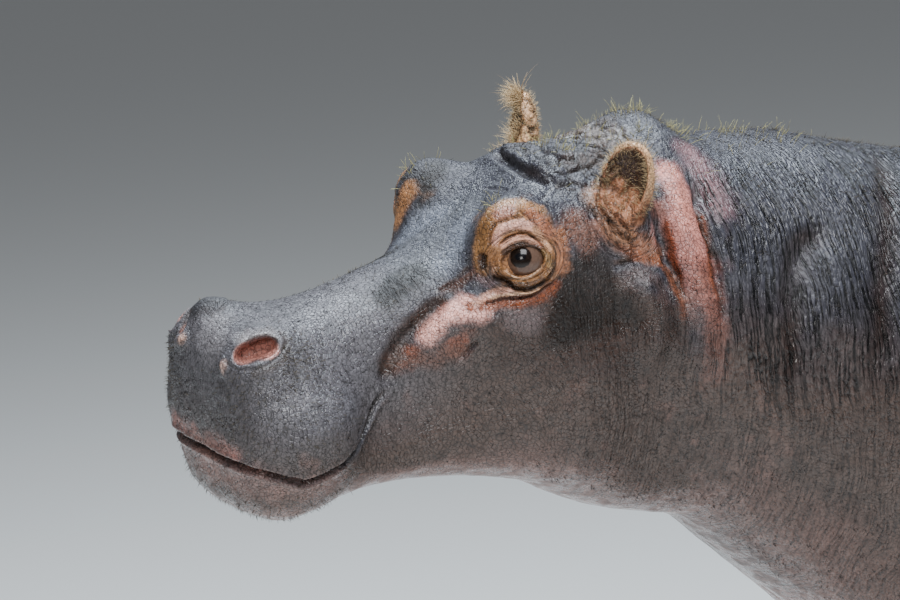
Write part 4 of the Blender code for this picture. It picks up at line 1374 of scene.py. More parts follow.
@dataclass
class Painter:
    """Works out the colour and the kinds of skin of every vertex of the hide."""

    head: HeadFrame

    def paint(self, mesh: Mesh) -> None:
        """Writes the colour, the kinds of skin and the rings' coordinates into the mesh.

        Args:
            mesh: The finished hide.
        """
        surface = Surface(mesh)
        normals = surface.normals()
        local = self.head.inward(surface.points)
        ground = GroundMap(local)
        tint = self.base(surface.points, local, normals)
        tint = self.patches(tint, ground, local)
        tint = self.ears(tint, surface.points)
        tint = self.shade_creases(tint, ground)
        tint *= (1 + 0.10 * layered_noise(local, 0.060, 91, 4))[:, None]
        kinds, rings = self.kinds(surface.points, local)
        write_colours(mesh, "tint", np.column_stack([np.clip(tint, 0, 1), np.ones(len(tint))]))
        write_colours(mesh, "kinds", kinds)
        layer = mesh.attributes.new("rings", "FLOAT_VECTOR", "POINT")
        layer.data.foreach_set("vector", rings.ravel())

    def base(self, points: Array, local: Array, normals: Array) -> Array:
        """Slate above, umber on the sides, pink below; the snout greyer."""
        low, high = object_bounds()
        share = (points - np.array(low)) / np.array(high - low)
        mottle = layered_noise(points, 0.22, 41, 4)
        facing = normals[:, 2]
        tint = blend(linear(SLATE), linear(UMBER), smooth_step(facing + 0.25 * mottle, 0.55, -0.15))
        under = smooth_step(facing + 0.2 * mottle, -0.35, -0.9)
        tint = blend(tint, linear(UNDERSIDE), under * 0.8)
        place = share - (0.5, 0, 0)
        down = smooth_step(facing, 0.75, 0.0)
        for zone in ZONES:
            away = np.linalg.norm((place - zone.centre) / zone.radii, axis=1) + 0.22 * mottle
            tint = blend(tint, linear(zone.colour), zone.strength * down * smooth_step(away, 1.1, 0.5))
        snout = smooth_step(local[:, 1], 0.40, 0.20)
        snout = snout * smooth_step(local[:, 2] + 0.02 * mottle, -0.16, -0.02)
        tint = blend(tint, linear(SNOUT), 0.9 * snout)
        head_top = smooth_step(local[:, 1], 0.85, 0.60) * smooth_step(local[:, 2], 0.10, 0.17)
        tint = blend(tint, linear(SLATE), head_top * 0.8)
        freckle = smooth_step(soft_noise(points, 0.020, 47), 0.45, 0.80) * smooth_step(facing, 0.2, -0.6)
        return blend(tint, linear(FRECKLE), 0.5 * freckle)

    def patches(self, tint: Array, ground: GroundMap, local: Array) -> Array:
        """Lays the patches one over another."""
        ragged = layered_noise(local, 0.022, 61, 3)
        for spot in PATCHES:
            colour = linear(spot.colour)
            for chosen, gap, _ in ground.along(spot, spot.reach * 1.4):
                edge = gap / spot.reach + 0.16 * ragged[chosen]
                share = spot.strength * smooth_step(edge, 1.05, 1.05 - spot.soft)
                tint[chosen] = blend(tint[chosen], colour, share)
        return tint

    def shade_creases(self, tint: Array, ground: GroundMap) -> Array:
        """Darkens the bottom of every fold and the cracks with painted shade."""
        for crease in FOLDS:
            for chosen, gap, along in ground.along(crease, crease.width * 2.5):
                depth = min(1.0, crease.depth / 0.006)
                share = 0.88 * depth * tapered(along) * bell(gap, 0.85 * crease.width)
                tint[chosen] = blend(tint[chosen], linear(FOLD_SHADE), share)
        for area in CRACKED:
            chosen, cracked = area.cracks(ground.local)
            tint[chosen] = blend(tint[chosen], linear(CRACK_SHADE), 0.95 * cracked)
        return tint

    def ears(self, tint: Array, points: Array) -> Array:
        """Tan ears with a light rim, and painted shade deep in the cup."""
        for ear in EARS:
            away, depth, rise = ear.coordinates(self.head, points)
            on_ear = smooth_step(away, 1.25, 1.05) * smooth_step(rise, -0.018, 0.004)
            tint = blend(tint, linear(EAR_BACK), on_ear)
            inside = on_ear * smooth_step(depth, 1.16, 1.05) * smooth_step(away, 0.985, 0.93)
            ragged = 0.010 * layered_noise(points, 0.016, 77, 3)
            tint = blend(tint, linear(EAR_INSIDE), 0.9 * inside)
            across = ear.inward(self.head.inward(points))[:, 0] * ear.side.value
            # Painted shade in the upper hollow of the cup, all but round its knot.
            knot = np.hypot(across + 0.012, rise - 0.043)
            deep = smooth_step(rise + ragged + 0.4 * across, 0.046, 0.060) * smooth_step(away, 0.96, 0.84)
            deep *= smooth_step(knot, 0.011, 0.018)
            tint = blend(tint, linear(EAR_CUP_SHADE), 0.95 * inside * deep)
            rim = on_ear * (1 - inside) * smooth_step(rise, 0.030, 0.070)
            tint = blend(tint, linear(EAR_RIM), 0.9 * rim)
        return tint

    def kinds(self, points: Array, local: Array) -> tuple[Array, Array]:
        """Where the hide is cracked (red), ringed (green) and wet (blue), and the rings' coordinates."""
        ringed, rings = self.ringed(local)
        kinds = (self.cracked(local), ringed, self.wetness(points, local), np.ones(len(points)))
        return np.column_stack(kinds), rings

    def cracked(self, local: Array) -> Array:
        """How deep the lattice of wrinkles is: fine on the snout, deep on cheeks, nape and neck."""
        cracked = 0.18 + 0.82 * smooth_step(local[:, 1], 0.56, 0.78)
        cracked *= 1 - 0.62 * smooth_step(local[:, 1], 1.05, 1.50)
        cracked *= 1 - 0.5 * smooth_step(local[:, 2], -0.02, -0.18)
        cheek = smooth_step(local[:, 1], 0.42, 0.52) * smooth_step(local[:, 2], 0.16, 0.10)
        cracked = np.maximum(cracked, 0.40 * cheek)
        for side in Side:
            away = np.linalg.norm(local - side.mirrored(BRIDGE_SPOT), axis=1)
            cracked = np.maximum(cracked, 0.8 * smooth_step(away, 0.045, 0.015))
        crown = smooth_step(local[:, 2], 0.19, 0.22) * smooth_step(local[:, 1], 0.44, 0.52)
        cracked = np.where(crown > 0, cracked * (1 - 0.65 * crown), cracked)
        for side in Side:
            cracked *= 0.15 + 0.85 * eye_opening(side).beyond(local, 0.004, 0.030)
        for side in Side:
            gap, _ = line_distance(local, np.array(ROLL) * (side.value, 1, 1))
            cracked *= 0.30 + 0.70 * smooth_step(gap, 0.022, 0.045)
        return cracked

    def ringed(self, local: Array) -> tuple[Array, Array]:
        """Where fine wrinkles run round an eye or the root of an ear, and their coordinates."""
        count = len(local)
        ringed = np.zeros(count)
        rings = np.zeros((count, 3))
        for side in Side:
            opening = eye_opening(side)
            chart = opening.chart(local)
            outside, angle = opening.outline(chart)
            near = smooth_step(outside, 0.034, 0.026) * (chart[:, 2] > opening.deepest)
            near = near * smooth_step(outside, 0.001, 0.004)
            chosen = near > 0.01
            ringed[chosen] = near[chosen]
            rings[chosen] = np.column_stack([outside, angle * 0.04, np.full(count, side.value)])[chosen]
        for ear in EARS:
            gap = local - (ear.side.value * ear.root[0], ear.root[1], ear.root[2] - 0.01)
            away = np.linalg.norm(gap, axis=1)
            near = smooth_step(away, 0.075, 0.055) * smooth_step(gap[:, 2], 0.05, 0.02) * 0.9
            chosen = near > ringed + 0.01
            turn = np.arctan2(gap[:, 1], gap[:, 2]) * 0.05
            ringed[chosen] = near[chosen]
            rings[chosen] = np.column_stack([away, turn, np.full(count, 5.0)])[chosen]
        return ringed, rings

    def wetness(self, points: Array, local: Array) -> Array:
        """How wet the hide is: all over, less in patches and least at the dull places."""
        wet = 0.80 + 0.20 * layered_noise(points, 0.15, 83, 3)
        for place, reach in DRIER:
            wet *= 1 - 0.85 * bell(np.linalg.norm(local - place, axis=1), reach)
        return np.clip(wet, 0, 1)


def blend(first: Array, second: Array, share: Array) -> Array:
    """Mixes two colours, by a share of the second for each vertex."""
    share = np.asarray(share)[:, None]
    return first * (1 - share) + second * share


def write_colours(mesh: Mesh, name: str, values: Array) -> None:
    """Writes four numbers per vertex as a colour layer."""
    layer = mesh.color_attributes.new(name, "FLOAT_COLOR", "POINT")
    layer.data.foreach_set("color", values.ravel())


# ---------------------------------------------------------------- finishes


class Nodes:
    """Adds nodes to a tree and links them."""

    def __init__(self, tree: NodeTree) -> None:
        """Starts from a tree."""
        self.tree = tree

    def add(self, kind: str, inputs: dict | None = None, **settings) -> Node:
        """Adds a node.

        Args:
            kind: The node's type without "ShaderNode".
            inputs: Values or outputs for its inputs, by name or number.
            **settings: The node's own properties.

        Returns:
            The new node.
        """
        node = self.tree.nodes.new(kind if kind.startswith("NodeGroup") else f"ShaderNode{kind}")
        for name, value in settings.items():
            setattr(node, name, value)
        for key, value in (inputs or {}).items():
            if isinstance(value, NodeSocket):
                self.link(value, node.inputs[key])
            else:
                node.inputs[key].default_value = value
        return node

    def sum(self, first, second, operation: str = "ADD") -> NodeSocket:
        """A sum, product or the like of two numbers or outputs."""
        return self.add("Math", {0: first, 1: second}, operation=operation).outputs[0]

    def product(self, first, *others) -> NodeSocket:
        """The product of two or more numbers or outputs, multiplied in order."""
        for other in others:
            first = self.sum(first, other, "MULTIPLY")
        return first

    def noise(self, place, scale: float, detail: float) -> NodeSocket:
        """Noise from 0 to 1 at places."""
        return self.add("TexNoise", {"Vector": place, "Scale": scale, "Detail": detail}).outputs["Fac"]

    def mix(self, share, first, second) -> NodeSocket:
        """Two colours mixed, by a share of the second."""
        return self.add("Mix", {0: share, 6: first, 7: second}, data_type="RGBA").outputs[2]

    def stretched(self, place, scale: Triple) -> NodeSocket:
        """Places scaled along each axis."""
        return self.add("Mapping", {"Vector": place, "Scale": scale}).outputs[0]

    def vectors(self, operation: str, first, second) -> NodeSocket:
        """What an operation makes of two vectors."""
        return self.add("VectorMath", {0: first, 1: second}, operation=operation).outputs[0]

    def scaled(self, vector, gain) -> NodeSocket:
        """A vector or a colour times a number."""
        return self.add("VectorMath", {0: vector, "Scale": gain}, operation="SCALE").outputs[0]

    def measured(self, vector) -> NodeSocket:
        """The length of a vector."""
        return self.add("VectorMath", {0: vector}, operation="LENGTH").outputs["Value"]

    def painted(self, name: str, output: str = "Color") -> NodeSocket:
        """A layer of the mesh."""
        return self.add("Attribute", attribute_name=name).outputs[output]

    def mottled(self, colour, size: float, amount: float) -> NodeSocket:
        """A colour made uneven by the shared group."""
        mottle = self.add("Group", node_tree=mottle_group())
        self.link(colour, mottle.inputs["Color"])
        mottle.inputs["Size"].default_value = size
        mottle.inputs["Amount"].default_value = amount
        return mottle.outputs["Color"]

    def link(self, output: NodeSocket, target: NodeSocket) -> None:
        """Joins an output to an input."""
        self.tree.links.new(output, target)

    def ramp(self, value, start: float, end: float, low: float, high: float) -> NodeSocket:
        """Carries a value smoothly from one range to another."""
        inputs = {"Value": value, "From Min": start, "From Max": end, "To Min": low, "To Max": high}
        return self.add("MapRange", inputs, interpolation_type="SMOOTHSTEP").outputs["Result"]


def new_group(name: str, inputs: dict[str, str], outputs: dict[str, str]) -> tuple[Nodes, dict, dict]:
    """Makes a shader node group.

    Args:
        name: The group's name.
        inputs: The kind of each input, by name.
        outputs: The kind of each output, by name.

    Returns:
        The group's nodes, the outputs of its input node and the inputs of its output node.
    """
    tree = bpy.data.node_groups.new(name, "ShaderNodeTree")
    for direction, sockets in (("INPUT", inputs), ("OUTPUT", outputs)):
        for socket, kind in sockets.items():
            tree.interface.new_socket(socket, in_out=direction, socket_type=f"NodeSocket{kind}")
    entry = tree.nodes.new("NodeGroupInput")
    leave = tree.nodes.new("NodeGroupOutput")
    return Nodes(tree), entry.outputs, leave.inputs


class Finish:
    """What all finishes share."""

    name: str

    def start(self) -> tuple[Material, Nodes, Node]:
        """Makes the material with one principled surface."""
        material = bpy.data.materials.new(self.name)
        material.use_nodes = True
        nodes = Nodes(material.node_tree)
        return material, nodes, material.node_tree.nodes["Principled BSDF"]


def mottle_group() -> NodeTree:
    """The group that makes a colour uneven at a chosen size."""
    found = bpy.data.node_groups.get("Mottle")
    if found:
        return found
    inputs = {"Color": "Color", "Size": "Float", "Amount": "Float"}
    nodes, entry, leave = new_group("Mottle", inputs, {"Color": "Color"})
    place = nodes.add("TexCoord").outputs["Object"]
    frequency = nodes.sum(1.0, entry["Size"], "DIVIDE")
    noise = nodes.add("TexNoise", {"Vector": place, "Scale": frequency, "Detail": 5.0, "Roughness": 0.6})
    swing = nodes.sum(noise.outputs["Fac"], 0.5, "SUBTRACT")
    gain = nodes.sum(nodes.product(swing, entry["Amount"], 2.0), 1.0)
    nodes.link(nodes.scaled(entry["Color"], gain), leave["Color"])
    return nodes.tree


def grain_group() -> NodeTree:
    """The group with the hide's fine relief: cells, pits, rings and grain."""
    nodes, entry, leave = new_group(
        "Hide grain",
        {"Cracked": "Float", "Ringed": "Float", "Rings": "Vector"},
        {"Height": "Float", "Raised": "Float"},
    )
    place = nodes.add("TexCoord").outputs["Object"]
    push = nodes.add("TexNoise", {"Vector": place, "Scale": 9.0, "Detail": 2.0})
    warped = nodes.vectors("ADD", place, nodes.scaled(push.outputs["Color"], 0.030))
    tall = nodes.stretched(warped, (0.34, 1.0, 0.34))
    cracked = entry["Cracked"]

    def cells(where: NodeSocket, size: float, width: float) -> NodeSocket:
        """Cells of a size that fall off to 0 at their borders."""
        found = nodes.add("TexVoronoi", {"Vector": where, "Scale": size}, feature="DISTANCE_TO_EDGE")
        return nodes.ramp(found.outputs["Distance"], 0.0, width, 0.0, 1.0)

    small = cells(tall, 185.0, 0.36)
    large = cells(tall, 80.0, 0.20)
    pleats = nodes.noise(nodes.stretched(warped, (17.0, 250.0, 17.0)), 1.0, 3.0)
    pleats = nodes.ramp(pleats, 0.36, 0.54, 0.0, 1.0)
    fine = cells(warped, 165.0, 0.16)
    pits = nodes.add("TexVoronoi", {"Vector": warped, "Scale": 150.0})
    pits = nodes.ramp(pits.outputs["Distance"], 0.10, 0.36, 0.0, 1.0)
    grain = nodes.noise(place, 420.0, 4.0)
    lumps = nodes.noise(place, 85.0, 4.0)
    squeezed = nodes.vectors("MULTIPLY", entry["Rings"], (330.0, 34.0, 1.0))
    ring = nodes.ramp(nodes.noise(squeezed, 1.0, 3.0), 0.36, 0.58, 0.0, 1.0)
    plain = nodes.sum(1.0, cracked, "SUBTRACT")
    parts = (  # each ends with its height in metres
        nodes.product(small, cracked, 0.0008),
        nodes.product(large, cracked, 0.0004),
        nodes.product(pleats, cracked, 0.0013),
        nodes.product(fine, plain, 0.0006),
        nodes.product(ring, entry["Ringed"], 0.0018),
        nodes.product(pits, 0.0003),
        nodes.product(grain, 0.00022),
        nodes.product(lumps, nodes.ramp(cracked, 0.3, 0.9, 1.0, 0.5), 0.0030),
    )
    height = parts[0]
    for part in parts[1:]:
        height = nodes.sum(height, part)
    nodes.link(height, leave["Height"])
    lined = nodes.sum(nodes.product(small, 0.45), nodes.product(pleats, 0.55))
    dotted = nodes.sum(nodes.product(fine, 0.6), nodes.product(pits, 0.4))
    raised = nodes.add("Mix", {0: cracked, 2: dotted, 3: lined}).outputs[0]
    circled = nodes.product(entry["Ringed"], 0.6)
    raised = nodes.add("Mix", {0: circled, 2: raised, 3: ring}).outputs[0]
    nodes.link(raised, leave["Raised"])
    return nodes.tree


@dataclass(frozen=True)
class WetHide(Finish):
    """Bare wet hide, painted by its layers."""

    name: str = "Wet_hide"
    dry_roughness: float = 0.56
    wet_roughness: float = 0.17
    refraction: float = 1.50

    def build(self) -> Material:
        """Makes the material."""
        material, nodes, surface = self.start()
        parts = nodes.add("SeparateColor", {"Color": nodes.painted("kinds")})
        rings = nodes.painted("rings", "Vector")
        grain = nodes.add("Group", node_tree=grain_group())
        for name, socket in (("Cracked", parts.outputs[0]), ("Ringed", parts.outputs[1]), ("Rings", rings)):
            nodes.link(socket, grain.inputs[name])
        mottled = nodes.mottled(nodes.painted("tint"), 0.012, 0.80)
        # Painted shade and light: the colour is darkened where the fine relief lies low (cell borders,
        # pleats, pits, ring grooves) and lightened where it stands up.
        sunk = nodes.ramp(grain.outputs["Raised"], 0.05, 0.95, 0.04, 1.35)
        amount = nodes.sum(nodes.product(parts.outputs[0], 0.15), 0.8)
        gain = nodes.sum(1.0, nodes.product(amount, nodes.sum(sunk, 1.0, "SUBTRACT")))
        nodes.link(nodes.scaled(mottled, gain), surface.inputs["Base Color"])
        place = nodes.add("TexCoord").outputs["Object"]
        patchy = nodes.ramp(nodes.noise(place, 38.0, 4.0), 0.36, 0.58, 0.35, 1.0)
        wet = nodes.product(parts.outputs[2], patchy)
        rough = nodes.ramp(wet, 0.0, 1.0, self.dry_roughness, self.wet_roughness)
        nodes.link(rough, surface.inputs["Roughness"])
        surface.inputs["IOR"].default_value = self.refraction
        bump = nodes.add("Bump", {"Height": grain.outputs["Height"], "Strength": 1.0, "Distance": 1.0})
        nodes.link(bump.outputs[0], surface.inputs["Normal"])
        return material


@dataclass(frozen=True)
class LiveEye(Finish):
    """A wet eye: dark iris, mauve white, painted by the angle from its gaze."""

    name: str = "Live_eye"
    iris: float = 0.0150
    pupil: tuple[float, float] = (0.0076, 0.0052)

    def build(self) -> Material:
        """Makes the material."""
        material, nodes, surface = self.start()
        gaze = nodes.painted("gaze", "Vector")
        flat = nodes.vectors("MULTIPLY", gaze, (1.0, 1.0, 0.0))
        noise = nodes.noise(gaze, 260.0, 4.0)
        away = nodes.measured(flat)
        uneven = nodes.sum(away, nodes.product(nodes.sum(noise, 0.5, "SUBTRACT"), 0.0016))
        inverse = (1 / self.pupil[0], 1 / self.pupil[1], 0.0)
        pupil = nodes.measured(nodes.vectors("MULTIPLY", flat, inverse))
        white = nodes.mix(noise, (0.070, 0.038, 0.026, 1), (0.150, 0.092, 0.066, 1))
        iris = nodes.mix(noise, (0.004, 0.0025, 0.002, 1), (0.014, 0.008, 0.005, 1))
        to_iris = nodes.ramp(uneven, self.iris + 0.0010, self.iris - 0.0008, 0.0, 1.0)
        to_pupil = nodes.ramp(pupil, 1.08, 0.92, 0.0, 1.0)
        colour = nodes.mix(to_pupil, nodes.mix(to_iris, white, iris), (0.002, 0.002, 0.003, 1))
        nodes.link(colour, surface.inputs["Base Color"])
        nodes.link(nodes.ramp(noise, 0.3, 0.7, 0.16, 0.30), surface.inputs["Roughness"])
        surface.inputs["Specular IOR Level"].default_value = 0.08
        surface.inputs["Coat Weight"].default_value = 1.0
        surface.inputs["Coat Roughness"].default_value = 0.10
        surface.inputs["Coat IOR"].default_value = 1.33
        return material


@dataclass(frozen=True)
class Horn(Finish):
    """The horn of the toenails: brown-grey, streaked from root to edge."""

    name: str = "Toenail_horn"
    light: Colour = (134, 116, 98)
    dark: Colour = (70, 58, 50)

    def build(self) -> Material:
        """Makes the material."""
        material, nodes, surface = self.start()
        place = nodes.add("TexCoord").outputs["Object"]
        streak = nodes.noise(nodes.stretched(place, (1.0, 1.0, 0.12)), 320.0, 3.0)
        blot = nodes.noise(place, 45.0, 4.0)
        share = nodes.ramp(nodes.sum(streak, blot), 0.75, 1.25, 0.0, 1.0)
        colour = nodes.mix(share, (*linear(self.dark), 1), (*linear(self.light), 1))
        nodes.link(colour, surface.inputs["Base Color"])
        nodes.link(nodes.ramp(blot, 0.3, 0.7, 0.35, 0.6), surface.inputs["Roughness"])
        bump = nodes.add("Bump", {"Height": streak, "Strength": 1.0, "Distance": 0.0008})
        nodes.link(bump.outputs[0], surface.inputs["Normal"])
        return material


@dataclass(frozen=True)
class Bristle(Finish):
    """Hair whose colour comes from its own layer."""

    name: str = "Bristle"

    def build(self) -> Material:
        """Makes the material."""
        material, nodes, surface = self.start()
        mottled = nodes.mottled(nodes.painted("tint"), 0.004, 0.5)
        nodes.link(mottled, surface.inputs["Base Color"])
        surface.inputs["Roughness"].default_value = 0.6
        return material


# ---------------------------------------------------------------- pieces


@dataclass
class Hide:
    """The whole hide in one piece."""

    nodes: dict[str, Object]
    head: HeadFrame

    def build(self) -> Object:
        """Shapes, paints and places the hide."""
        mesh = HideShape(self.nodes, self.head).build()
        Painter(self.head).paint(mesh)
        mesh.materials.append(WetHide().build())
        obj = new_object("Hide", mesh)
        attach(obj, BODY)
        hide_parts(*FLESH, "ear_left", "ear_right")
        LOG.info("Hide: %d triangles", triangle_count(mesh))
        return obj


@dataclass
class Eye:
    """One eyeball with a clear bulge in front."""

    side: Side
    finish: Material
    radius: float = EYE_RADIUS - 0.0002
    bulge: float = 0.0014
    gaze: Triple = (0.75, -0.60, 0.375)

    def build(self, head: HeadFrame) -> Object:
        """Makes the eyeball in its socket."""
        bm = bmesh.new()
        bmesh.ops.create_uvsphere(bm, u_segments=64, v_segments=48, radius=self.radius)
        for vert in bm.verts:
            front = max(vert.co.z / self.radius, 0.0)
            vert.co *= 1 + self.bulge / self.radius * max(0.0, (front - 0.82) / 0.18) ** 0.7
        mesh = bpy.data.meshes.new("Eye")
        bm.to_mesh(mesh)
        layer = mesh.attributes.new("gaze", "FLOAT_VECTOR", "POINT")
        for index, vert in enumerate(bm.verts):
            layer.data[index].vector = vert.co
        bm.free()
        look = Vector((self.side.value * self.gaze[0], *self.gaze[1:]))
        centre = eye_centre(self.side)
        turn = look.to_track_quat("Z", "Y").to_matrix().to_4x4()
        mesh.transform(head.matrix() @ Matrix.Translation(centre) @ turn)
        mesh.shade_smooth()
        mesh.materials.append(self.finish)
        obj = new_object(f"Eye_{self.side.name.title()}", mesh)
        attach(obj, BODY)
        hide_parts(f"eye_{self.side.name.lower()}")
        LOG.info("%s: %d triangles", obj.name, triangle_count(mesh))
        return obj


def dress_toenails(nodes: dict[str, Object]) -> None:
    """Gives every toenail its horn."""
    horn = Horn().build()
    for name, node in nodes.items():
        if name.startswith("toenail"):
            node.data.materials.clear()
            node.data.materials.append(horn)
    LOG.info("toenails: horn")


@dataclass
class Studio:
    """The floor, the soft lights and the camera."""

    head: HeadFrame
    lens: float = 174.24
    distance: float = 6.0
    target: Triple = (0.195, 0.290, 0.0944)
    look: Triple = (-0.86, 0.4767, -0.1822)
    tilt: float = -3.3

    def build(self) -> None:
        """Sets the stage up."""
        self.floor()
        self.world()
        top = Vector((0.1, -0.6, 1.4))  # the top of the head
        self.light("Sky", (2.0, -1.6, 4.4), top, 2.2, 210, (0.95, 0.97, 1.0))
        self.light("Key", (2.8, -3.2, 2.4), top, 0.9, 34, (1.0, 0.97, 0.93))
        self.light("Sheen", (-1.0, -0.3, 5.0), top, 3.2, 400, (0.80, 0.90, 1.0))
        self.camera()

    def floor(self) -> None:
        """A plain pale floor."""
        mesh = bpy.data.meshes.new("Floor")
        with editing(mesh) as bm:
            bmesh.ops.create_grid(bm, x_segments=2, y_segments=2, size=40)
        material = bpy.data.materials.new("Floor")
        material.use_nodes = True
        surface = material.node_tree.nodes["Principled BSDF"]
        surface.inputs["Base Color"].default_value = (0.80, 0.80, 0.78, 1)
        surface.inputs["Roughness"].default_value = 0.8
        mesh.materials.append(material)
        floor = new_object("Floor", mesh)
        floor.location.z = -0.0005
        floor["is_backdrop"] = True

    def world(self) -> None:
        """An even pale world."""
        world = bpy.data.worlds.new("World")
        bpy.context.scene.world = world
        world.use_nodes = True
        background = world.node_tree.nodes["Background"]
        background.inputs["Color"].default_value = (0.80, 0.84, 0.90, 1)
        background.inputs["Strength"].default_value = 0.20

    def light(self, name: str, place: tuple, aim: Vector, size: float, power: float, colour: tuple) -> None:
        """A square soft light that points at a place."""
        lamp = bpy.data.lights.new(name, "AREA")
        lamp.energy = power
        lamp.size = size
        lamp.color = colour
        obj = bpy.data.objects.new(name, lamp)
        bpy.context.scene.collection.objects.link(obj)
        obj.location = place
        obj.rotation_euler = (aim - obj.location).to_track_quat("-Z", "Y").to_euler()
        obj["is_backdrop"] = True

    def camera(self) -> None:
        """A long lens at the height of the head, on its left."""
        data = bpy.data.cameras.new("Camera")
        data.lens = self.lens
        camera = bpy.data.objects.new("Camera", data)
        bpy.context.scene.collection.objects.link(camera)
        bpy.context.scene.camera = camera
        look = Vector(self.look).normalized()
        aim = self.head.matrix() @ Vector(self.target)
        turn = look.to_track_quat("-Z", "Y").to_matrix().to_4x4()
        tilt = Matrix.Rotation(math.radians(self.tilt), 4, "Z")
        camera.matrix_world = Matrix.Translation(aim - look * self.distance) @ turn @ tilt
        LOG.info("camera at %.2f, %.2f, %.2f", *camera.matrix_world.translation)


# ---------------------------------------------------------------- bristles


class Skin:
    """The finished hide as triangles on which bristles take root."""

    def __init__(self, mesh: Mesh, head: HeadFrame) -> None:
        """Reads the triangles' places, sizes and normals."""
        surface = Surface(mesh)
        self.head = head
        self.normals = surface.normals()
        self.points = surface.points
        mesh.calc_loop_triangles()
        corners = np.zeros(len(mesh.loop_triangles) * 3, int)
        mesh.loop_triangles.foreach_get("vertices", corners)
        self.corners = corners.reshape(-1, 3)
        first, second, third = (self.points[self.corners[:, corner]] for corner in range(3))
        self.areas = np.linalg.norm(np.cross(second - first, third - first), axis=1) / 2
        self.centres = (first + second + third) / 3
        self.facing = self.normals[self.corners].mean(axis=1)
        self.local = head.inward(self.centres)
        self.bounds = [np.array(corner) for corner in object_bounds()]

    def sow(self, density: Array, count: int, seed: int) -> tuple[Array, Array]:
        """Picks roots at random.

        Args:
            density: How thickly each triangle is grown over, on any scale.
            count: How many roots are wanted.
            seed: Makes the choice repeatable.

        Returns:
            The roots' places and their normals.
        """
        random = np.random.default_rng(seed)
        weight = np.maximum(density, 0) * self.areas
        chosen = random.choice(len(weight), count, p=weight / weight.sum())
        shares = random.dirichlet((1, 1, 1), count)
        places = np.einsum("nc,ncx->nx", shares, self.points[self.corners[chosen]])
        normals = np.einsum("nc,ncx->nx", shares, self.normals[self.corners[chosen]])
        return places, normals / np.linalg.norm(normals, axis=1)[:, None]

    def off_ears(self) -> Array:
        """0 on the ears and 1 away from them, for each triangle."""
        total = np.ones(len(self.areas))
        for ear in EARS:
            away, _, rise = ear.coordinates(self.head, self.centres)
            total *= np.where(rise > 0, smooth_step(away, 1.15, 1.30), 1)
        return total

    def unwrap(self, places: Array) -> Array:
        """Where places are on the hide rolled out flat: the barrel, and below it the limbs."""
        low, high = self.bounds
        share = (places - low) / (high - low)
        middle = (low + high) / 2
        on_leg = share[:, 2] < 0.30
        side = np.sign(places[:, 0] - middle[0])
        rear = share[:, 1] > 0.62
        leg_x = middle[0] + side * 0.275
        leg_y = np.where(rear, low[1] + 0.87 * (high - low)[1], low[1] + 0.44 * (high - low)[1])
        barrel = np.arctan2(places[:, 0] - middle[0], places[:, 2] - 0.9) / (2 * math.pi) + 0.5
        limb = np.arctan2(places[:, 0] - leg_x, places[:, 1] - leg_y) / (2 * math.pi) + 0.5
        tile = (side > 0) * 0.25 + rear * 0.5
        across = np.where(on_leg, tile + 0.24 * limb, barrel)
        along = np.where(on_leg, 0.75 + 0.7 * share[:, 2], 0.02 + 0.70 * share[:, 1])
        return np.column_stack([across, along])


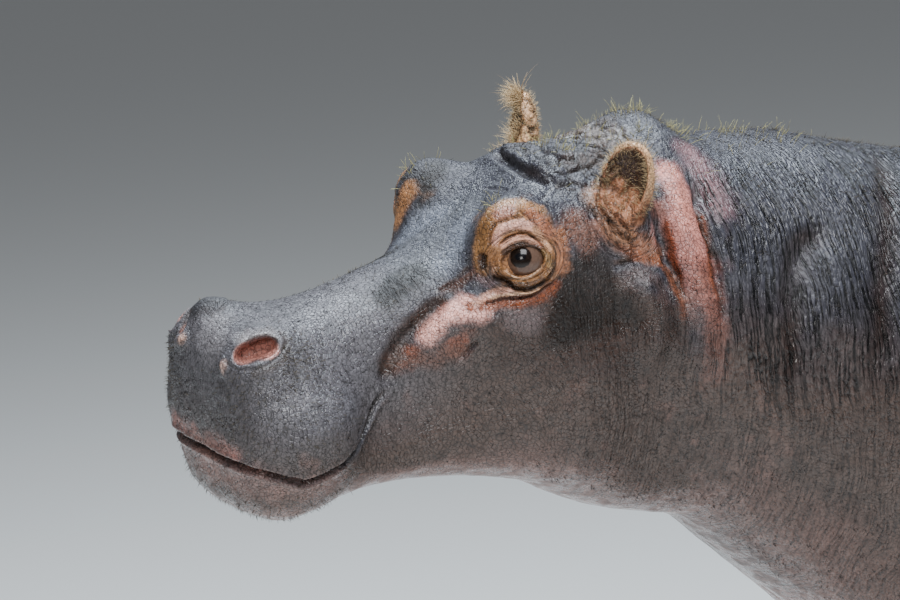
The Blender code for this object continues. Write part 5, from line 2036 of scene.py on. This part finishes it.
@dataclass
class Coat:
    """Bristles of one kind, joined into one piece."""

    name: str
    density: Array
    count: int
    length: tuple[float, float]
    width: float
    lean: float
    flow: Triple
    root_colour: Colour
    tip_colour: Colour
    segments: int = 2
    curl: float = 0.25
    scatter: float = 0.30
    seed: int = 1
    sunk: float = 0.0015
    tile: float = 0.0015  # half the width of one bristle's place in the layout

    def directions(self, places: Array, normals: Array) -> Array:
        """Which way each bristle points: between straight out and along the lie of the coat."""
        random = np.random.default_rng(self.seed + 50)
        flow = np.array(self.flow) + self.scatter * random.normal(size=places.shape)
        flat = flow - normals * np.sum(flow * normals, axis=1)[:, None]
        flat /= np.linalg.norm(flat, axis=1)[:, None] + 1e-9
        lean = np.clip(self.lean + 0.12 * random.normal(size=len(places)), 0, 0.94)[:, None]
        way = normals * (1 - lean) + flat * lean
        return way / np.linalg.norm(way, axis=1)[:, None]

    def build(self, skin: Skin, finish: Material) -> Object:
        """Grows the bristles on the hide as one piece."""
        places, normals = skin.sow(self.density, self.count, self.seed)
        ways = self.directions(places, normals)
        random = np.random.default_rng(self.seed + 90)
        lengths = random.uniform(*self.length, self.count) * random.uniform(0.7, 1.1, self.count)
        fall = np.array((0, 0, -1)) * 0.6 + random.normal(size=places.shape) * 0.6
        bend = fall - ways * np.sum(fall * ways, axis=1)[:, None]
        across = np.cross(ways, random.normal(size=places.shape))
        across /= np.linalg.norm(across, axis=1)[:, None]
        upward = np.cross(ways, across)
        start = places - normals * self.sunk
        rings = []
        for step in range(self.segments):
            share = step / self.segments
            middle = start + (lengths * share)[:, None] * (ways + self.curl * share * bend)
            thick = self.width * (1 - 0.75 * share)
            for turn in range(3):
                angle = 2 * math.pi * turn / 3
                rings.append(middle + thick * (across * math.cos(angle) + upward * math.sin(angle)))
        rings.append(start + lengths[:, None] * (ways + self.curl * bend))
        each = len(rings)
        points = np.stack(rings, axis=1).reshape(-1, 3)
        pattern = self.pattern()
        faces = (np.arange(self.count)[:, None, None] * each + pattern[None]).reshape(-1, 3)
        mesh = self.mesh(points, faces, skin.unwrap(places))
        mesh.materials.append(finish)
        obj = new_object(self.name, mesh)
        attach(obj, BODY)
        LOG.info("%s: %d bristles, %d triangles", self.name, self.count, len(faces))
        return obj

    def pattern(self) -> Array:
        """The triangles of one bristle."""
        faces = [(0, 1, 2)]
        for step in range(self.segments - 1):
            for turn in range(3):
                here, there = step * 3 + turn, step * 3 + (turn + 1) % 3
                faces += [(here, there + 3, there), (here, here + 3, there + 3)]
        last = (self.segments - 1) * 3
        for turn in range(3):
            faces.append((last + turn, last + 3, last + (turn + 1) % 3))
        return np.array(faces)

    def mesh(self, points: Array, faces: Array, layout: Array) -> Mesh:
        """Makes the mesh with its colours and its layout.

        Args:
            points: The vertices, bristle after bristle.
            faces: The triangles, by vertex number.
            layout: Where each bristle's root is on the hide rolled out flat.

        Returns:
            The mesh, without a material.
        """
        mesh = bpy.data.meshes.new(self.name)
        mesh.vertices.add(len(points))
        mesh.vertices.foreach_set("co", points.ravel())
        mesh.loops.add(len(faces) * 3)
        mesh.loops.foreach_set("vertex_index", faces.ravel())
        mesh.polygons.add(len(faces))
        mesh.polygons.foreach_set("loop_start", np.arange(len(faces)) * 3)
        mesh.update(calc_edges=True)
        share = np.append(np.repeat(np.arange(self.segments), 3) / self.segments, 1.0)
        random = np.random.default_rng(self.seed + 7)
        shade = random.uniform(0.65, 1.25, self.count)
        mix = np.clip(share[None, :] * random.uniform(0.6, 1.4, self.count)[:, None], 0, 1)
        colours = blend(linear(self.root_colour), linear(self.tip_colour), mix.ravel())
        colours *= np.repeat(shade, len(share))[:, None]
        write_colours(mesh, "tint", np.column_stack([np.clip(colours, 0, 1), np.ones(len(colours))]))
        sideways = np.append(np.tile([-1.0, 0.0, 1.0], self.segments), 0.0)
        tile = self.tile * np.column_stack([sideways, share * 2 - 1])
        spots = (layout[:, None, :] + tile[None]).reshape(-1, 2)
        layer = mesh.uv_layers.new(name="OFBake")
        layer.data.foreach_set("uv", spots[faces.ravel()].ravel())
        return mesh


class Growth:
    """How thickly bristles of each kind grow on the hide's triangles."""

    def __init__(self, skin: Skin) -> None:
        """Takes the hide."""
        self.skin = skin
        self.local = skin.local

    def ear_fringe(self) -> Array:
        """The rims and the backs of the ears: thickest on the rim, thin inside."""
        total = np.zeros(len(self.skin.areas))
        for ear in EARS:
            away, depth, rise = ear.coordinates(self.skin.head, self.skin.centres)
            on_ear = (away < 1.2) & (rise > 0.012)
            rim = bell(depth - 1.0, 0.10) * bell(away - 1.0, 0.10)
            front = 1.0 if ear.side is Side.LEFT else 1.6
            total += on_ear * (0.10 + front * rim * smooth_step(rise, 0.03, 0.09))
        return total

    def ear_tassel(self) -> Array:
        """The long hair of the right ear, along its front edge and at its tip."""
        ear = EARS[1]
        away, depth, rise = ear.coordinates(self.skin.head, self.skin.centres)
        local = self.local
        rim = bell(depth - 1.0, 0.12) * (away < 1.2)
        front = smooth_step(local[:, 1], 0.600, 0.575) + 1.5 * smooth_step(rise, 0.105, 0.125)
        return rim * front * (rise > 0.03)

    def poll_fuzz(self) -> Array:
        """Tufts on the top of the head and over the brows."""
        local = self.local
        crown = smooth_step(local[:, 2], 0.190, 0.235) * smooth_step(local[:, 1], 0.50, 0.56)
        crown *= smooth_step(local[:, 1], 1.25, 0.75) * smooth_step(self.skin.facing[:, 2], 0.60, 0.90)
        brow = np.zeros(len(local))
        for side in Side:
            away = np.linalg.norm(local - side.mirrored((0.108, 0.410, 0.200)), axis=1)
            brow = np.maximum(brow, bell(away, 0.022))
        clumps = 0.05 + smooth_step(soft_noise(local, 0.030, 5), 0.0, 0.7)
        return (crown * clumps + 1.2 * brow) * self.skin.off_ears()

    def nape(self) -> Array:
        """A band along the middle, from between the ears to the withers."""
        local = self.local
        along = smooth_step(local[:, 1], 0.60, 0.72) * smooth_step(local[:, 1], 1.70, 1.20)
        upper = smooth_step(self.skin.facing[:, 2], 0.25, 0.75)
        return along * upper * (0.3 + smooth_step(soft_noise(local, 0.05, 9), -0.5, 0.5))

    def snout(self) -> Array:
        """The snout, bridge and forehead, but not the nostrils or round the eyes."""
        local = self.local
        total = smooth_step(local[:, 1], 0.62, 0.50) * smooth_step(local[:, 2], -0.17, -0.08)
        for side in Side:
            for opening, near in ((nostril_opening(side), 0.004), (eye_opening(side), 0.036)):
                total *= opening.beyond(local, near, near + 0.010)
        return total * (0.25 + smooth_step(soft_noise(local, 0.06, 21), -0.3, 0.6))

    def cheek(self) -> Array:
        """The sides of the head behind the eye, and the neck."""
        local = self.local
        back = smooth_step(local[:, 1], 0.40, 0.50) * smooth_step(local[:, 1], 1.20, 0.80)
        side = smooth_step(local[:, 2], 0.24, 0.14) * smooth_step(np.abs(local[:, 0]), 0.09, 0.14)
        bare = np.ones(len(local))
        for eye in Side:
            bare *= eye_opening(eye).beyond(local, 0.026, 0.040)
        clumps = 0.3 + smooth_step(soft_noise(local, 0.045, 8), -0.4, 0.5)
        return back * side * (bare * self.skin.off_ears()) * clumps

    def stubble(self) -> Array:
        """Fields behind each nostril, along the lips and on the chin."""
        local = self.local
        total = np.zeros(len(local))
        for side in Side:
            for place, reach, weight in (
                ((0.112, 0.085, 0.025), 0.035, 1.0),
                ((0.110, 0.010, -0.030), 0.050, 0.35),
                ((0.130, 0.080, -0.070), 0.060, 0.35),
                ((0.060, 0.260, 0.075), 0.045, 0.15),
            ):
                away = np.linalg.norm(local - side.mirrored(place), axis=1)
                total += weight * bell(away, reach)
            opening = nostril_opening(side)
            away, _ = opening.outline(opening.chart(local))
            total *= smooth_step(away, 0.004, 0.008)
        chin = smooth_step(local[:, 2], -0.135, -0.16) * smooth_step(local[:, 1], 0.20, 0.10)
        return total + 0.12 * chin

    def body(self) -> Array:
        """Everywhere behind the neck, more on the back, but not on the soles or the tail."""
        skin = self.skin
        behind = smooth_step(skin.local[:, 1], 0.80, 1.20)
        above = smooth_step(skin.centres[:, 2], 0.06, 0.30)
        back = 0.35 + 0.65 * smooth_step(skin.facing[:, 2], -0.3, 0.6)
        return behind * above * back

    def tail(self) -> Array:
        """The lower half of the tail."""
        low, high = (np.array(corner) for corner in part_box("tail"))
        centres = self.skin.centres
        inside = np.all((centres > low - 0.003) & (centres < high + 0.003), axis=1)
        return inside * smooth_step(centres[:, 2], low[2] + 0.75 * (high[2] - low[2]), low[2])


def build_coats(hide: Object, head: HeadFrame) -> None:
    """Grows every kind of bristle on the hide."""
    skin = Skin(hide.data, head)
    finish = Bristle().build()
    growth = Growth(skin)
    coats = (
        Coat(
            "Ear_fringe", growth.ear_fringe(), count=3600, length=(0.006, 0.014), width=0.00038, lean=0.3,
            flow=(0, 0.1, 1), root_colour=(126, 94, 66), tip_colour=(214, 192, 148), curl=0.2, scatter=0.5,
            seed=11,
        ),
        Coat(
            "Ear_tassel", growth.ear_tassel(), count=820, length=(0.014, 0.042), width=0.00045, lean=0.5,
            flow=(0, -0.6, 0.9), root_colour=(134, 96, 62), tip_colour=(222, 196, 150), segments=4,
            curl=0.35, scatter=0.4, seed=12,
        ),
        Coat(
            "Poll_fuzz", growth.poll_fuzz(), count=430, length=(0.01, 0.028), width=0.00038, lean=0.3,
            flow=(0, 0.6, 0.2), root_colour=(120, 108, 62), tip_colour=(206, 200, 132), segments=4,
            curl=0.35, scatter=0.7, seed=13,
        ),
        Coat(
            "Nape_bristles", growth.nape(), count=5200, length=(0.007, 0.014), width=0.00050, lean=0.5,
            flow=(0, 0.8, 0.1), root_colour=(26, 22, 18), tip_colour=(84, 74, 58), curl=0.2, scatter=0.5,
            seed=18,
        ),
        Coat(
            "Cheek_bristles", growth.cheek(), count=15000, length=(0.006, 0.013), width=0.00070, lean=0.84,
            flow=(0.0, 0.8, -0.6), root_colour=(14, 10, 8), tip_colour=(44, 34, 28), curl=0.1, scatter=0.35,
            seed=14,
        ),
        Coat(
            "Snout_bristles", growth.snout(), count=15000, length=(0.005, 0.011), width=0.00075, lean=0.84,
            flow=(0, 0.9, -0.3), root_colour=(12, 10, 10), tip_colour=(40, 36, 34), curl=0.1, scatter=0.4,
            seed=19,
        ),
        Coat(
            "Muzzle_stubble", growth.stubble(), count=3200, length=(0.005, 0.011), width=0.00050, lean=0.45,
            flow=(0, 0.7, -0.5), root_colour=(28, 24, 20), tip_colour=(96, 84, 60), curl=0.2, scatter=0.5,
            seed=15,
        ),
        Coat(
            "Body_bristles", growth.body(), count=12000, length=(0.007, 0.016), width=0.00046, lean=0.78,
            flow=(0, 0.8, -0.4), root_colour=(36, 28, 24), tip_colour=(84, 70, 54), curl=0.15, scatter=0.35,
            seed=16,
        ),
        Coat(
            "Tail_bristles", growth.tail(), count=420, length=(0.022, 0.045), width=0.00050, lean=0.62,
            flow=(0, 0.3, -1), root_colour=(26, 22, 20), tip_colour=(60, 50, 42), segments=4, scatter=0.45,
            seed=17,
        ),
    )
    for coat in coats:
        coat.build(skin, finish)


def main() -> None:
    """Builds every piece in order."""
    logging.basicConfig(level=logging.INFO, format="%(name)s: %(message)s")
    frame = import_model()
    nodes = frame["nodes"]
    head = HeadFrame.from_eyes()
    hide = Hide(nodes, head).build()
    eye_finish = LiveEye().build()
    for side in Side:
        Eye(side, eye_finish).build(head)
    dress_toenails(nodes)
    build_coats(hide, head)
    Studio(head).build()


if __name__ == "__main__":
    main()
